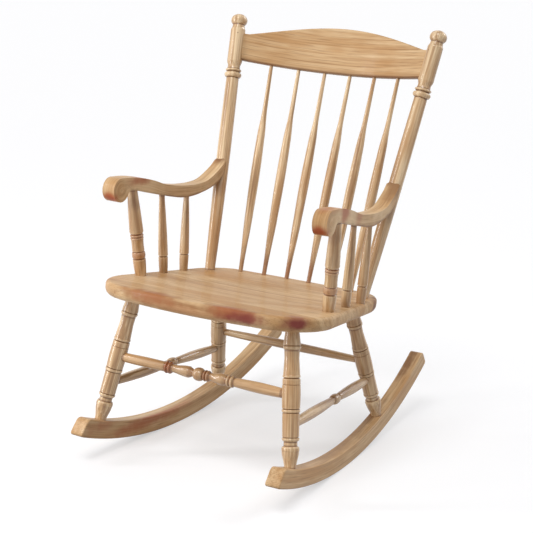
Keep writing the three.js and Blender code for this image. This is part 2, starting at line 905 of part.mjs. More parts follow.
const armPostPlace = {
  inset: armPostSideInset,
  footY: armPostFootY,
  topY: armPostTopY,
  topOut: armPostTopOut,
  radius: armPostRadius,
  sides: stretcherSides,
};
const frontArmSpindlePlace = {
  inset: frontArmSpindleSideInset,
  footY: frontArmSpindleFootY,
  topY: frontArmSpindleTopY,
  topOut: 0,
  radius: armSpindleRadius,
  sides: spindleSides,
};
const rearArmSpindlePlace = {
  inset: rearArmSpindleSideInset,
  footY: rearArmSpindleFootY,
  topY: rearArmSpindleTopY,
  topOut: 0,
  radius: armSpindleRadius,
  sides: spindleSides,
};

// Assembly

// One side of the base: a rocker, the two legs that stand on it and the stretcher between them.
function baseSide(hand, side, plank) {
  const board = rocker(`rocker_${hand}`, side);
  const [frontX, frontY] = [seatFrontHalfWidth - frontLegSideInset, frontLegInset - seatFrontReach];
  const [rearX, rearY] = [seatRearHalfWidth - rearLegSideInset, seatRearReach - rearLegInset];
  const front = leg(`leg_front_${hand}`, side, frontX, frontY, frontY - frontLegFootForward);
  const rear = leg(`leg_rear_${hand}`, side, rearX, rearY, rearY + rearLegFootBack);
  cut(board, [legFootTenonRod(front, fitGap), legFootTenonRod(rear, fitGap)]);
  cut(plank, [legHeadTenonRod(front, fitGap), legHeadTenonRod(rear, fitGap)]);
  const shares = [sideStretcherFrontShare, sideStretcherRearShare];
  const name = `stretcher_side_${hand}`;
  const bar = stretcher(name, sideStretcherShares, sideStretcherRadius, front, shares[0], rear, shares[1]);
  return { front, rear, meshes: [board, front.mesh, rear.mesh, bar.mesh] };
}

function crossStretchers(left, right) {
  const front = stretcher(
    'stretcher_front', frontStretcherShares, frontStretcherRadius,
    left.front, frontStretcherShare, right.front, frontStretcherShare,
  );
  const rear = stretcher(
    'stretcher_rear', rearStretcherShares, rearStretcherRadius,
    left.rear, rearStretcherShare, right.rear, rearStretcherShare,
  );
  return [front.mesh, rear.mesh];
}

// One arm with its turned supports.
function armSide(hand, side, member, plank) {
  const mesh = arm(`arm_${hand}`, side, member);
  const named = (name) => `${name}_${hand}`;
  const support = (name, table, place) => armSupport(named(name), table, side, place, plank, mesh).mesh;
  return [
    mesh,
    support('arm_post', armPostShares, armPostPlace),
    support('arm_spindle_front', armSpindleShares, frontArmSpindlePlace),
    support('arm_spindle_rear', armSpindleShares, rearArmSpindlePlace),
  ];
}

function rockingChair() {
  const plank = seat();
  const left = baseSide('left', -1, plank);
  const right = baseSide('right', 1, plank);
  const posts = [post('back_post_left', -1), post('back_post_right', 1)];
  posts.forEach((member) => cut(plank, [footBore(member)]));
  const rail = crestRail(posts);
  const spindles = [];
  for (let i = 0; i < backSpindleCount; i += 1) {
    spindles.push(backSpindle(i, plank, rail).mesh);
  }

  const base = new THREE.Group();
  base.add(...left.meshes, ...right.meshes, ...crossStretchers(left, right));
  const back = new THREE.Group();
  back.add(...posts.map((member) => member.mesh), rail, ...spindles);
  const arms = new THREE.Group();
  arms.add(...armSide('left', -1, posts[0], plank), ...armSide('right', 1, posts[1], plank));

  const chair = new THREE.Group();
  chair.add(base, plank, back, arms);
  const box = new THREE.Box3().setFromObject(chair);
  chair.position.y = -(box.min.y + box.max.y) / 2;
  return chair;
}

export default rockingChair();
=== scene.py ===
import math
import random
from collections import namedtuple

import bmesh
import bpy
import numpy as np
from mathutils import Matrix, Vector


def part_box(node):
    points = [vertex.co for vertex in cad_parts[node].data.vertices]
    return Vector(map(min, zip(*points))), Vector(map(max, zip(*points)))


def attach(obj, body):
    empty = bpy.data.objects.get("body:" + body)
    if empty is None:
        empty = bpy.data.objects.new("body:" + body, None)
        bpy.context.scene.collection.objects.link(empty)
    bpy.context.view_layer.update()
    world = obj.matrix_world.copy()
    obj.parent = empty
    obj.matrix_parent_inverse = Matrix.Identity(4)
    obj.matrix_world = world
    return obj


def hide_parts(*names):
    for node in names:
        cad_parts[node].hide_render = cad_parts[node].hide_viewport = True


bl_info = {
    "name": "Boston rocking chair",
    "version": (1, 0, 0),
    "blender": (4, 5, 0),
    "location": "View3D > Sidebar > Rocking chair",
    "description": "Dresses the frame of a wooden rocking chair in turned and sawn ash",
    "category": "Object",
}

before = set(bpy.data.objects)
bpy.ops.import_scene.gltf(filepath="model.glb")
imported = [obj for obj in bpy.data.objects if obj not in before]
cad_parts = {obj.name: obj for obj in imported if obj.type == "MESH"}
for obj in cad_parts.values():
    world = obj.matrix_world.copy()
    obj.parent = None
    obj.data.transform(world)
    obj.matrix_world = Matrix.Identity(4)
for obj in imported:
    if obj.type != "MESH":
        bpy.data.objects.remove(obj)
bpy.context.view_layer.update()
MM = 0.001
BODY = "root"
SIDES = (("left", -1), ("right", 1))

# The chair is drawn with y = 0 under the feet of its arm posts, and the frame is centred on its own
# box. The front of the seat is at the same place in both, so it gives the shift between them.
SEAT_FRONT = -202.49 * MM
SHIFT = Vector((0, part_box("seat")[0].y - SEAT_FRONT, 0))


# Sizes

def length(name, description, millimetres):
    """A length that a user can change, kept in metres."""
    return bpy.props.FloatProperty(
        name=name, description=description, default=millimetres * MM, unit="LENGTH")


def number(name, description, value):
    """A plain number: a slope, a share of a length or a strength."""
    return bpy.props.FloatProperty(name=name, description=description, default=value)


def degrees(name, description, value):
    """An angle that a user can change, given in degrees."""
    return bpy.props.FloatProperty(
        name=name, description=description, default=math.radians(value), subtype="ANGLE")


def finish_colour(name, description, hex_value):
    """A colour given as an sRGB hex value."""
    return bpy.props.FloatVectorProperty(
        name=name, description=description, default=linear(hex_value), size=4, subtype="COLOR",
        min=0, max=1)


def linear(hex_value):
    """Turns an sRGB hex value into the linear colour that shaders use."""
    channels = [int(hex_value[i:i + 2], 16) / 255 for i in (1, 3, 5)]
    return tuple(c / 12.92 if c <= 0.04045 else ((c + 0.055) / 1.055) ** 2.4 for c in channels) + (1,)


class SeatSizes(bpy.types.PropertyGroup):
    """The plank seat."""

    height: length("Height", "Top of the seat over the floor at the arm posts", 410)
    fall: number("Fall", "How much the seat drops for each unit towards the back", 0.1005)
    thickness: length("Thickness", "Thickness of the plank", 34)
    front_reach: length("Front reach", "From the arm posts to the front edge", 201)
    front_bow: length("Front bow", "How far the front edge bows out", 16)
    front_half_width: length("Front half width", "Half the width behind the front corners", 284)
    front_corner_width: length("Front corner width", "Width of a front corner's curve", 130)
    front_corner_depth: length("Front corner depth", "Depth of a front corner's curve", 155)
    rear_reach: length("Rear reach", "From the arm posts to the rear edge", 362)
    rear_bow: length("Rear bow", "How far the rear edge bows out", 7)
    rear_half_width: length("Rear half width", "Half the width before the rear corners", 252)
    rear_corner_width: length("Rear corner width", "Width of a rear corner's curve", 72)
    rear_corner_depth: length("Rear corner depth", "Depth of a rear corner's curve", 109)
    top_round: length("Top round", "Radius along the upper edge", 9)
    under_round: length("Under round", "Depth of the softer curve along the lower edge", 17)
    dish_half_width: length("Dish half width", "Half the width of the hollow", 205)
    dish_half_depth: length("Dish half depth", "Half the depth of the hollow, front to back", 168)
    dish_drop: length("Dish drop", "How deep the hollow is", 5)
    dish_setback: length("Dish setback", "Where the hollow's middle lies behind the arm posts", 60)


class BaseSizes(bpy.types.PropertyGroup):
    """Rockers, legs and stretchers."""

    rocker_thickness: length("Rocker thickness", "Thickness of a rocker's board", 35)
    rocker_height: length("Rocker height", "Height of a rocker where it stands", 41)
    rocker_radius: length("Rocker radius", "Radius of the curve under a rocker", 1105)
    rocker_flare: length("Rocker flare", "How much sharper the upper curve is than a parallel one", 50)
    rocker_setback: length("Rocker setback", "Where a rocker stands, behind the arm posts", 155)
    rocker_half_spacing: length("Rocker half spacing", "Half the distance between the rockers", 240.5)
    rocker_converge: number("Rocker convergence", "How much a rocker closes in towards the rear", 0.042)
    rocker_front: length("Rocker front length", "From where a rocker stands to its front tip", 394)
    rocker_rear: length("Rocker rear length", "From where a rocker stands to its rear tip", 515)
    rocker_slant: length("Rocker end slant", "How far an end slants back from tip to top", 31)
    rocker_end_round: length("Rocker end round", "Radius at the corners of a rocker's ends", 12)
    rocker_edge_round: length("Rocker edge round", "Radius along a rocker's edges", 3.2)
    leg_radius: length("Leg radius", "Largest radius of a leg", 20)
    front_head_x: length("Front leg head x", "Where a front leg meets the seat, from the middle", 208)
    front_head_y: length("Front leg head y", "Where a front leg meets the seat, from the arm posts", -88)
    front_foot_y: length("Front leg foot y", "Where a front leg stands on its rocker", -146)
    rear_head_x: length("Rear leg head x", "Where a rear leg meets the seat, from the middle", 186)
    rear_head_y: length("Rear leg head y", "Where a rear leg meets the seat, from the arm posts", 264)
    rear_foot_y: length("Rear leg foot y", "Where a rear leg stands on its rocker", 364)
    front_bar_radius: length("Front stretcher radius", "Largest radius of the front stretcher", 15.5)
    front_bar_share: number("Front stretcher place", "Share of the front legs under the stretcher", 0.517)
    rear_bar_radius: length("Rear stretcher radius", "Largest radius of the rear stretcher", 11.2)
    rear_bar_share: number("Rear stretcher place", "Share of the rear legs under the stretcher", 0.52)
    side_bar_radius: length("Side stretcher radius", "Largest radius of a side stretcher", 12.5)
    side_front_share: number("Side stretcher front place", "Share of a front leg under it", 0.3)
    side_rear_share: number("Side stretcher rear place", "Share of a rear leg under it", 0.343)


class BackSizes(bpy.types.PropertyGroup):
    """Back posts, crest rail and back spindles."""

    post_x: length("Post foot x", "Where a back post stands, from the middle", 215)
    post_y: length("Post foot y", "Where a back post stands, behind the arm posts", 263.5)
    rake: number("Rake", "How much the back leans for each unit of height", 0.3112)
    splay: number("Splay", "How much a post leans outwards for each unit of height", 0.0993)
    post_length: length("Post length", "From the seat to the top of the ball", 669)
    post_radius: length("Post radius", "Largest radius of a back post", 22)
    crest_rise: length("Crest rise", "From the seat to the rail, up the slope of the back", 548)
    crest_end_height: length("Crest end height", "Height of the rail at the posts", 69)
    crest_middle_height: length("Crest middle height", "Height of the rail in the middle", 117.5)
    crest_thickness: length("Crest thickness", "Thickness of the rail", 20)
    crest_bow: length("Crest bow", "How far the rail bends behind the posts", 66)
    crest_round: length("Crest round", "Radius along the rail's edges", 4.5)
    crest_shoulder: length("Crest shoulder", "From a post's axis to where the arch starts", 23)
    spindle_radius: length("Spindle radius", "Largest radius of a back spindle", 11.8)
    spindle_foot_pitch: length("Spindle foot pitch", "Distance between feet", 62.7)
    spindle_top_pitch: length("Spindle top pitch", "Distance between tops", 71.2)
    spindle_foot_y: length("Spindle foot y", "Feet of the middle spindles behind the arm posts", 337)
    spindle_foot_bow: length("Spindle foot bow", "How far the outer feet stand forward", 17)


class ArmSizes(bpy.types.PropertyGroup):
    """Arms and the turned supports under them."""

    width: length("Width", "Width of an arm", 34)
    reach: length("Length", "From the post's axis to the front of the scroll", 462)
    rise: length("Rise", "Height of the scroll's top over the dip", 44)
    joint_height: length("Joint height", "Joint on the post over the seat's height", 230)
    splay: number("Splay", "How much an arm spreads towards the front", 0.065)
    scroll_radius: length("Scroll radius", "Radius of the scroll", 28)
    scroll_drop: length("Scroll drop", "Scroll's middle under the joint", 13)
    edge_round: length("Edge round", "Radius along an arm's edges", 5.5)
    end_setback: length("End setback", "Where the arm ends in front of the post's axis", 13)
    end_dome: length("End dome", "How far an arm's top falls to its sides where it meets its post", 10)
    end_round: length("End round", "Curve at the corners where an arm meets its post", 13)
    post_radius: length("Arm post radius", "Largest radius of an arm post", 16.5)
    post_foot_x: length("Arm post foot x", "Where an arm post stands, from the middle", 250.5)
    post_top_y: length("Arm post top y", "Top of an arm post, behind its foot", -26)
    post_top_out: length("Arm post top out", "How far outside the arm's middle the post's top is", 2)
    spindle_radius: length("Arm spindle radius", "Largest radius of an arm spindle", 12)
    front_foot_x: length("Front spindle foot x", "Where the front spindle stands", 247.5)
    front_foot_y: length("Front spindle foot y", "Where the front spindle stands", 95)
    front_top_y: length("Front spindle top y", "Where the front spindle meets the arm", 89)
    rear_foot_x: length("Rear spindle foot x", "Where the rear spindle stands", 245)
    rear_foot_y: length("Rear spindle foot y", "Where the rear spindle stands", 184)
    rear_top_y: length("Rear spindle top y", "Where the rear spindle meets the arm", 191)


class WoodLook(bpy.types.PropertyGroup):
    """Colours of the wood under its lacquer. Some are also laid as painted shade and painted light."""

    # Also laid as painted light on the arms' sides towards the chair's right and along the left rocker's
    # top.
    light: finish_colour("Light wood", "Ash between the grain lines", "#e7cda6")
    tan: finish_colour("Tan wood", "Usual tone of the ash", "#c39f75")
    # Also laid as painted shade at the feet of the back and of the arm supports.
    shade: finish_colour("Shaded wood", "Darker streaks of the ash", "#936d49")
    warm: finish_colour("Warm wood", "Redder drifts of the stain", "#b48654")
    line: finish_colour("Grain line", "Dark pores of the ash's early growth", "#96704a")
    # Also laid as painted shade at joints, under lower edges, under the arms' ends and at the seat's rear
    # corner.
    groove_and_shade: finish_colour("Groove", "Lacquer and polish gathered in the turned grooves", "#6d4428")
    blush: finish_colour("Blush", "Dark red stain left at worn places", "#7c3835")
    rust: finish_colour("Rust", "Orange-red stain on the scrolls of the arms", "#a04a28")
    copper: finish_colour("Copper tone", "Orange-brown glaze on some of the rings", "#9e5832")


class StageLook(bpy.types.PropertyGroup):
    """Floor, light and camera."""

    floor: finish_colour("Floor", "Colour of the floor", "#bcbcbe")
    key: number("Key light", "Strength of the large soft light in front on the left", 1.46)
    softness: degrees("Softness", "How wide the distant lights are seen from the chair", 26)
    left_strip: bpy.props.FloatProperty(
        name="Left strip", description="Power of the tall softbox on the left", default=34, unit="POWER")
    rear: number("Rear light", "Strength of the soft light behind on the right", 1)
    sky: number("Sky", "Strength of the even light from all round", 0.44)
    floor_lift: number("Floor lift", "How much paler the floor is to the camera", 0.48)
    azimuth: degrees("Azimuth", "How far round to the right the camera stands", 28.0035)
    elevation: degrees("Elevation", "How far over the horizon the camera stands", 13.0007)
    roll: degrees("Roll", "How far the camera is tipped", 3.3702)
    distance: length("Camera distance", "From the camera to the point it looks at", 3154.53)
    aim: bpy.props.FloatVectorProperty(
        name="Aim", description="The point that the camera looks at", default=(0.035016, 0.1, 0.460299),
        subtype="TRANSLATION")
    lens: number("Lens", "Focal length in millimetres on a 36 mm sensor", 90.6)


# Turning tables. A row is the form, where it ends as a share of the visible length, the radius there as
# a share of the largest radius, the radius at a curved form's middle, and how coppery its finish is.

LEG_ROWS = (
    ("start", 0, 0.66),
    ("ease", 0.12, 0.96),
    ("bead", 0.152, 0.9, 0.985),
    ("taper", 0.156, 0.76),
    ("taper", 0.19, 0.755),
    ("bead", 0.216, 0.86, 0.965),
    ("cove", 0.222, 0.93, 0.84),
    ("taper", 0.39, 0.955),
    ("cove", 0.396, 0.965, 0.88),
    ("bead", 0.418, 0.965, 1.02),
    ("cove", 0.424, 0.99, 0.88),
    ("swell", 0.59, 1.01, 1.03),
    ("cove", 0.596, 1, 0.95),
    ("taper", 0.634, 0.995),
    ("cove", 0.645, 0.97, 0.86),
    ("bead", 0.662, 0.94, 0.985),
    ("taper", 0.78, 0.82),
    ("taper", 0.842, 0.85),
    ("bead", 0.868, 0.92, 0.98),
    ("cove", 0.874, 0.95, 0.87),
    ("taper", 0.885, 0.955),
    ("taper", 0.96, 0.8),
    ("taper", 1, 0.78),
)

POST_ROWS = (
    ("start", 0, 0.58),
    ("taper", 0.006, 0.584),
    ("swell", 0.744, 0.735, 0.77),
    ("taper", 0.748, 0.7),
    ("bead", 0.768, 0.78, 1),
    ("taper", 0.772, 0.73),
    ("bead", 0.781, 0.8, 0.93),
    ("cove", 0.806, 0.83, 0.72),
    ("ease", 0.812, 0.88),
    ("taper", 0.936, 0.86),
    ("ease", 0.949, 0.73),
    ("taper", 0.957, 0.69),
    ("ball", 1, 0, 0.966),
)

BACK_SPINDLE_ROWS = (
    ("start", 0, 0.47),
    ("taper", 0.008, 0.471),
    ("ease", 0.3, 0.88),
    ("swell", 0.64, 0.86, 1),
    ("ease", 0.8, 0.5),
    ("taper", 0.992, 0.385),
    ("taper", 1, 0.38),
)

ARM_POST_ROWS = (
    ("start", 0, 0.8),
    ("swell", 0.195, 0.95, 0.9),
    ("cove", 0.212, 0.9, 0.78, 0.4),
    ("bead", 0.28, 0.88, 0.97, 0.5),
    ("cove", 0.294, 0.9, 0.8, 0.3),
    ("cove", 0.43, 0.9, 0.86),
    ("bead", 0.452, 0.88, 0.95, 0.4),
    ("cove", 0.462, 0.9, 0.85, 0.4),
    ("bead", 0.485, 0.88, 0.97, 0.5),
    ("cove", 0.5, 0.94, 0.78, 0.5),
    ("swell", 0.53, 1, 1),
    ("swell", 0.96, 0.745, 0.9),
    ("taper", 1, 0.74),
)

ARM_SPINDLE_ROWS = (
    ("start", 0, 0.86),
    ("swell", 0.205, 0.97, 0.93),
    ("cove", 0.222, 0.95, 0.82, 0.2),
    ("bead", 0.24, 0.995, 1),
    ("swell", 0.94, 0.58, 0.85),
    ("taper", 1, 0.58),
)

FRONT_BAR_ROWS = (
    ("start", 0, 0.7),
    ("swell", 0.27, 0.74, 0.78),
    ("taper", 0.274, 0.68, None, 0.5),
    ("bead", 0.288, 0.72, 0.92, 1),
    ("cove", 0.296, 0.72, 0.64, 1),
    ("bead", 0.312, 0.66, 0.9, 1),
    ("taper", 0.316, 0.58, None, 0.5),
    ("ease", 0.418, 0.86, None, 0.12),
    ("ease", 0.452, 0.56, None, 0.4),
    ("taper", 0.457, 0.58, None, 0.6),
    ("bead", 0.514, 0.58, 1, 0.3),
    ("taper", 0.52, 0.56, None, 0.8),
    ("bead", 0.532, 0.68, 0.84, 0.7),
    ("cove", 0.538, 0.68, 0.6, 0.9),
    ("bead", 0.553, 0.6, 0.82, 0.6),
    ("taper", 0.557, 0.56, None, 0.4),
    ("ease", 0.634, 0.86),
    ("ease", 0.664, 0.62, None, 0.2),
    ("bead", 0.68, 0.7, 0.86, 0.15),
    ("cove", 0.687, 0.7, 0.64, 0.5),
    ("bead", 0.704, 0.68, 0.88, 0.1),
    ("taper", 0.708, 0.66),
    ("swell", 1, 0.7, 0.8),
)

SIDE_BAR_ROWS = (
    ("start", 0, 0.76),
    ("swell", 0.5, 0.7, 0.98),
    ("cove", 0.514, 0.66, 0.58),
    ("bead", 0.578, 0.66, 1),
    ("cove", 0.592, 0.7, 0.58),
    ("swell", 1, 0.76, 0.98),
)

REAR_BAR_ROWS = (
    ("start", 0, 0.76),
    ("taper", 0.01, 0.768),
    ("swell", 0.99, 0.768, 1),
    ("taper", 1, 0.76),
)


# Finer sizes, and the steps that shapes are drawn in

# Lower edges and joints are darkened as grooves of this depth are: painted shade, with some polish gathered
# there.
DARK_MARK_DEPTH = 1 * MM

# A turning's surface lies in a groove where it is under the mean radius this far to both sides.
GROOVE_REACH = 4 * MM

# How far turnings run on into what they are glued in.
FOOT_TENON = 18 * MM
HEAD_TENON = 10 * MM
LEG_TENON = 12 * MM
STRETCHER_TENON = 6 * MM

# How far a leg's foot is sunk into its rocker, as a share of the rocker's rounded edge.
LEG_SINK_SHARE = 0.8

# How many steps forms and curves are drawn in.
FORM_STEPS = {"taper": 3, "ease": 12, "bead": 10, "cove": 8, "swell": 20, "ball": 16}
TURNED_SIDES = 40
CURVE_STEPS = 8
SEAT_EDGE_STEPS = 10
FRONT_CORNER_STEPS = 18
REAR_CORNER_STEPS = 16
ROCKER_STEPS = 56
CREST_HALF_STEPS = 30
SCROLL_STEPS = 40
PIN_SIDES = 24

# How far apart a board is sliced, so that it can be hollowed, domed and darkened along its edges.
SEAT_SLICE = 14 * MM
ROCKER_SLICE = 13 * MM
ARM_SLICE = 9 * MM
ARM_LEVEL_SLICE = 7 * MM
ARM_WIDTH_SHARES = (-0.375, -0.25, -0.125, 0, 0.125, 0.25, 0.375)

# How far from the middle of the wood, in metres, a piece may be cut.
WOOD_REACH = 2

# Points this close together are one, and points this close to a plane lie on it.
MERGE = 0.002 * MM
ON_PLANE = 0.01 * MM

# Edges sharper than this stay sharp in the shading.
SHARP_ANGLE = math.radians(40)

# The sitter's hollow fades out where the squared distance from its middle, in half sizes, reaches the
# first number, and is a little deeper than its drop, because its rim is so soft.
DISH_FADE = 1.3
DISH_DEPTH_SHARE = 1.1

# How high the crest rail's lower edge is darkened with painted shade and some polish, in radii of that
# edge, with the slices that show it.
CREST_DARK_EDGE_SHARES = (0.7, 1.2, 1.8)

BACK_SPINDLES = 6

# The peg across the crest rail's tenon: its place up the post as a share, how far it is turned from the
# front towards the middle, its radius, length and rounding, and how deep it is let in.
PIN_SHARE = 0.92
PIN_TURN = math.radians(28)
PIN_RADIUS = 1.9 * MM
PIN_LENGTH = 7 * MM
PIN_ROUND = 1.2 * MM
PIN_DEPTH = 6.2 * MM

# Where the arm's faces run: shares of its length in front of the post, and of its rise over the joint.
ARM_TOP = (
    (0.056, 0.1), (0.112, -0.27), (0.193, -0.62), (0.284, -0.71), (0.363, -0.69), (0.439, -0.62),
    (0.561, -0.42), (0.657, -0.11), (0.75, 0.13), (0.85, 0.29),
)
ARM_UNDER = (
    (0.872, -0.41), (0.804, -0.47), (0.616, -0.93), (0.433, -1.3), (0.323, -1.34), (0.214, -1.2),
    (0.129, -0.99), (0.068, -0.74),
)

# Where the arm's faces end at the post, as shares of the same rise.
ARM_END_TOP = 0.62
ARM_END_FOOT = -0.5

# The arm's rounded corners at the post take the place of this many of its nearest points, over and under.
TOP_SKIPPED = 5
UNDER_SKIPPED = 6

# The dome at the arm's end reaches this share of the joint's height forwards, and starts this share of the
# rise under the joint.
DOME_REACH_SHARE = 0.25
DOME_START_SHARE = 0.3

# How much of a full turn the scroll makes, and how far the seat's corners are filled by their curves.
SCROLL_TURN_SHARE = 0.7
CORNER_PULL_SHARE = 0.55


def bulged(rise, u, start, end, middle):
    """A straight run between two radii with a bulge or a hollow added to it."""
    return start + (end - start) * u + (middle - (start + end) / 2) * rise


def ball_angle(u, neck, middle):
    """The angle round a ball that starts on its neck and closes on the axis."""
    start = math.acos(neck / middle)
    return u * (start + math.pi / 2) - start


def form_point(form, u, start, end, middle):
    """(share of the row's length, radius share) a part of the way through one turned form."""
    if form == "taper":
        return u, start + (end - start) * u
    if form == "ease":
        return u, start + (end - start) * (1 - math.cos(math.pi * u)) / 2
    if form == "bead":
        across = (1 - math.cos(math.pi * u)) / 2
        return across, bulged(math.sin(math.pi * u), across, start, end, middle)
    if form == "ball":
        bottom = math.sin(ball_angle(0, start, middle))
        angle = ball_angle(u, start, middle)
        return (math.sin(angle) - bottom) / (1 - bottom), max(middle * math.cos(angle), 0)
    # A cove or a swell.
    return u, bulged(math.sin(math.pi * u), u, start, end, middle)


def turned_profile(rows, visible, radius):
    """[(height, radius, copper)] along a turning, from its foot to its head."""
    profile = [(rows[0][1] * visible, rows[0][2] * radius, 0)]
    for before, row in zip(rows, rows[1:]):
        form, end, end_radius = row[:3]
        middle = row[3] if len(row) > 3 else None
        copper = row[4] if len(row) > 4 else 0
        steps = FORM_STEPS[form]
        for step in range(1, steps + 1):
            part, r = form_point(form, step / steps, before[2], end_radius, middle)
            if form == "ball" and step == steps:
                r = 0
            profile.append(((before[1] + (end - before[1]) * part) * visible, r * radius, copper))
    return profile


def hollow_of(profile):
    """How deep each height of a turning lies under the radius around it."""
    heights = np.array([p[0] for p in profile])
    radii = np.array([p[1] for p in profile])
    ways = np.linspace(-GROOVE_REACH, GROOVE_REACH, num=15)
    around = np.mean([np.interp(heights + way, heights, radii) for way in ways], axis=0)
    depth = around - radii
    # Painted shade fills the joints at both ends, where the parts meet, with some polish gathered there. A
    # ball's upper half has no joint, and stays clean.
    depth[0] = DARK_MARK_DEPTH
    if radii[-1] > 0:
        depth[-1] = DARK_MARK_DEPTH
    else:
        depth[-FORM_STEPS["ball"] // 2:] = 0
    return depth


# Reference planes and lines, in the chair's own frame

def chair():
    """The sizes and colours set in the scene."""
    return bpy.context.scene.rocking_chair


def on_seat(x, y):
    """A point on the seat's upper face."""
    seat = chair().seat
    return Vector((x, y, seat.height - seat.fall * y))


def under_seat(x, y):
    """A point on the seat's lower face."""
    seat = chair().seat
    return on_seat(x, y) - Vector((0, 0, seat.thickness * math.hypot(1, seat.fall)))


def lean():
    """The turn that lays upright work back to the slope of the posts."""
    return Matrix.Rotation(-math.atan(chair().back.rake), 4, "X")


def on_back(x, behind, rise):
    """A point on the plane of the two posts, or behind it, at a rise up that plane."""
    return on_seat(0, chair().back.post_y) + lean() @ Vector((x, behind, rise))


def rocker_top_radius():
    """The radius of a rocker's upper edge."""
    base = chair().base
    return base.rocker_radius - base.rocker_height - base.rocker_flare


def rocker_top(reach):
    """The height of a rocker's upper edge at a distance from where it stands."""
    radius = rocker_top_radius()
    return chair().base.rocker_height + radius - math.sqrt(radius ** 2 - reach ** 2)


def on_rocker(side, y):
    """A point on a rocker's upper edge."""
    base = chair().base
    behind = y - base.rocker_setback
    x = base.rocker_half_spacing - base.rocker_converge * behind
    return Vector((side * x, y, rocker_top(behind * math.hypot(1, base.rocker_converge))))


# Meshes

def start_grain(bm, name):
    """Adds the layers that the wood reads, and draws the place in the wood that the piece is cut from.

    The layers are the depth of grooves and of painted shade at joints and lower edges, how coppery the
    finish is and the grain's own coordinates.
    """
    bm.verts.layers.float.new("hollow")
    bm.verts.layers.float.new("copper")
    draw = random.Random(name)
    start = Vector([draw.uniform(-WOOD_REACH, WOOD_REACH) for _ in range(3)])
    return bm.verts.layers.float_vector.new("grain"), start


def lay_grain(bm, name, along):
    """Keeps each point's place in its board, turned so that the grain runs along the third axis."""
    grain, start = start_grain(bm, name)
    for vert in bm.verts:
        vert[grain] = Vector((vert.co[along - 2], vert.co[along - 1], vert.co[along])) + start


def lay_grain_along(bm, name, line):
    """Keeps each point's place in a board that is curved in its own plane: the grain follows a line."""
    grain, start = start_grain(bm, name)
    line = np.array(line)
    runs = np.diff(line, axis=0)
    lengths = np.linalg.norm(runs, axis=1)
    passed = np.concatenate(([0], np.cumsum(lengths)[:-1]))
    for vert in bm.verts:
        way = np.array(vert.co.yz) - line[:-1]
        part = np.clip((way * runs).sum(axis=1) / lengths ** 2, 0, 1)
        away = np.linalg.norm(way - runs * part[:, None], axis=1)
        near = int(away.argmin())
        vert[grain] = start + Vector((vert.co.x, away[near], passed[near] + part[near] * lengths[near]))


def darken_lower_edge(bm, edge, reach):
    """Darkens a board along its lower edge, less and less up to a reach over it: painted shade, with some
    polish gathered there.
    """
    hollow = bm.verts.layers.float["hollow"]
    along, heights = zip(*edge)
    for vert in bm.verts:
        if along[0] <= vert.co.y:
            over = vert.co.z - np.interp(vert.co.y, along, heights)
            vert[hollow] = DARK_MARK_DEPTH * min(max(1 - over / reach, 0), 1)


def new_object(name, data):
    """An object in the scene for a mesh, a lamp or a camera."""
    made = bpy.data.objects.new(name, data)
    bpy.context.scene.collection.objects.link(made)
    return made


def finish_piece(bm, name, nodes, material):
    """Makes the piece's object and gives it its place in the frame."""
    bmesh.ops.remove_doubles(bm, verts=bm.verts, dist=MERGE)
    bmesh.ops.recalc_face_normals(bm, faces=bm.faces)
    bm.transform(Matrix.Translation(SHIFT))
    mesh = bpy.data.meshes.new(name)
    bm.to_mesh(mesh)
    bm.free()
    mesh.shade_smooth()
    mesh.set_sharp_from_angle(angle=SHARP_ANGLE)
    mesh.materials.append(material)
    piece = new_object(name, mesh)
    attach(piece, BODY)
    if nodes:
        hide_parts(*nodes)
    return piece


def finish_board(bm, name, kind, material):
    """Finishes a sawn piece. Its flat faces stay flat in the shading beside their rounded edges."""
    piece = finish_piece(bm, f"{name}_{kind}", [name], material)
    normals = piece.modifiers.new("Even shading", "WEIGHTED_NORMAL")
    normals.weight = 100
    normals.keep_sharp = True


def bevel(bm, edges, width, segments):
    """Rounds edges."""
    bmesh.ops.bevel(bm, geom=edges, offset=width, offset_type="OFFSET", segments=segments, profile=0.5,
                    affect="EDGES", material=-1, clamp_overlap=True)


def thicken(bm, depth):
    """Extrudes a flat mesh by a depth into a closed solid."""
    made = bmesh.ops.extrude_face_region(bm, geom=bm.faces[:])["geom"]
    bmesh.ops.translate(bm, vec=depth, verts=[v for v in made if isinstance(v, bmesh.types.BMVert)])
    bmesh.ops.recalc_face_normals(bm, faces=bm.faces)


def slab(points, depth):
    """Fills an outline and extrudes it by a depth."""
    bm = bmesh.new()
    bm.faces.new([bm.verts.new(point) for point in points])
    thicken(bm, depth)
    return bm


def rims(bm, corners):
    """The edges round the two flat faces of a slab."""
    flats = [face for face in bm.faces if len(face.verts) == corners]
    return [edge for face in flats for edge in face.edges]


def sawn(outline, thickness, edge_round, segments):
    """A board on edge, sawn to its side view and rounded along its edges."""
    bm = slab([(-thickness / 2, p.x, p.y) for p in outline], (thickness, 0, 0))
    bevel(bm, rims(bm, len(outline)), edge_round, segments)
    return bm


def edges_where(bm, test):
    """The edges that lie, with both ends, at heights that pass a test."""
    return [edge for edge in bm.edges if all(test(vert.co.z) for vert in edge.verts)]


def places_between(low, high, pitch):
    """The multiples of a pitch between two places."""
    return [count * pitch for count in range(math.ceil(low / pitch), math.floor(high / pitch) + 1)]


def slice_across(bm, axis, places):
    """Cuts a mesh by planes across an axis, so that it can be bent or hollowed."""
    normal = Vector([float(i == axis) for i in range(3)])
    for at in places:
        geom = bm.verts[:] + bm.edges[:] + bm.faces[:]
        bmesh.ops.bisect_plane(bm, geom=geom, plane_co=normal * at, plane_no=normal, dist=ON_PLANE)


def aimed(foot, head):
    """Puts the origin at one point and turns +Z towards another."""
    turn = Vector((0, 0, 1)).rotation_difference(head - foot)
    return Matrix.Translation(foot) @ turn.to_matrix().to_4x4()


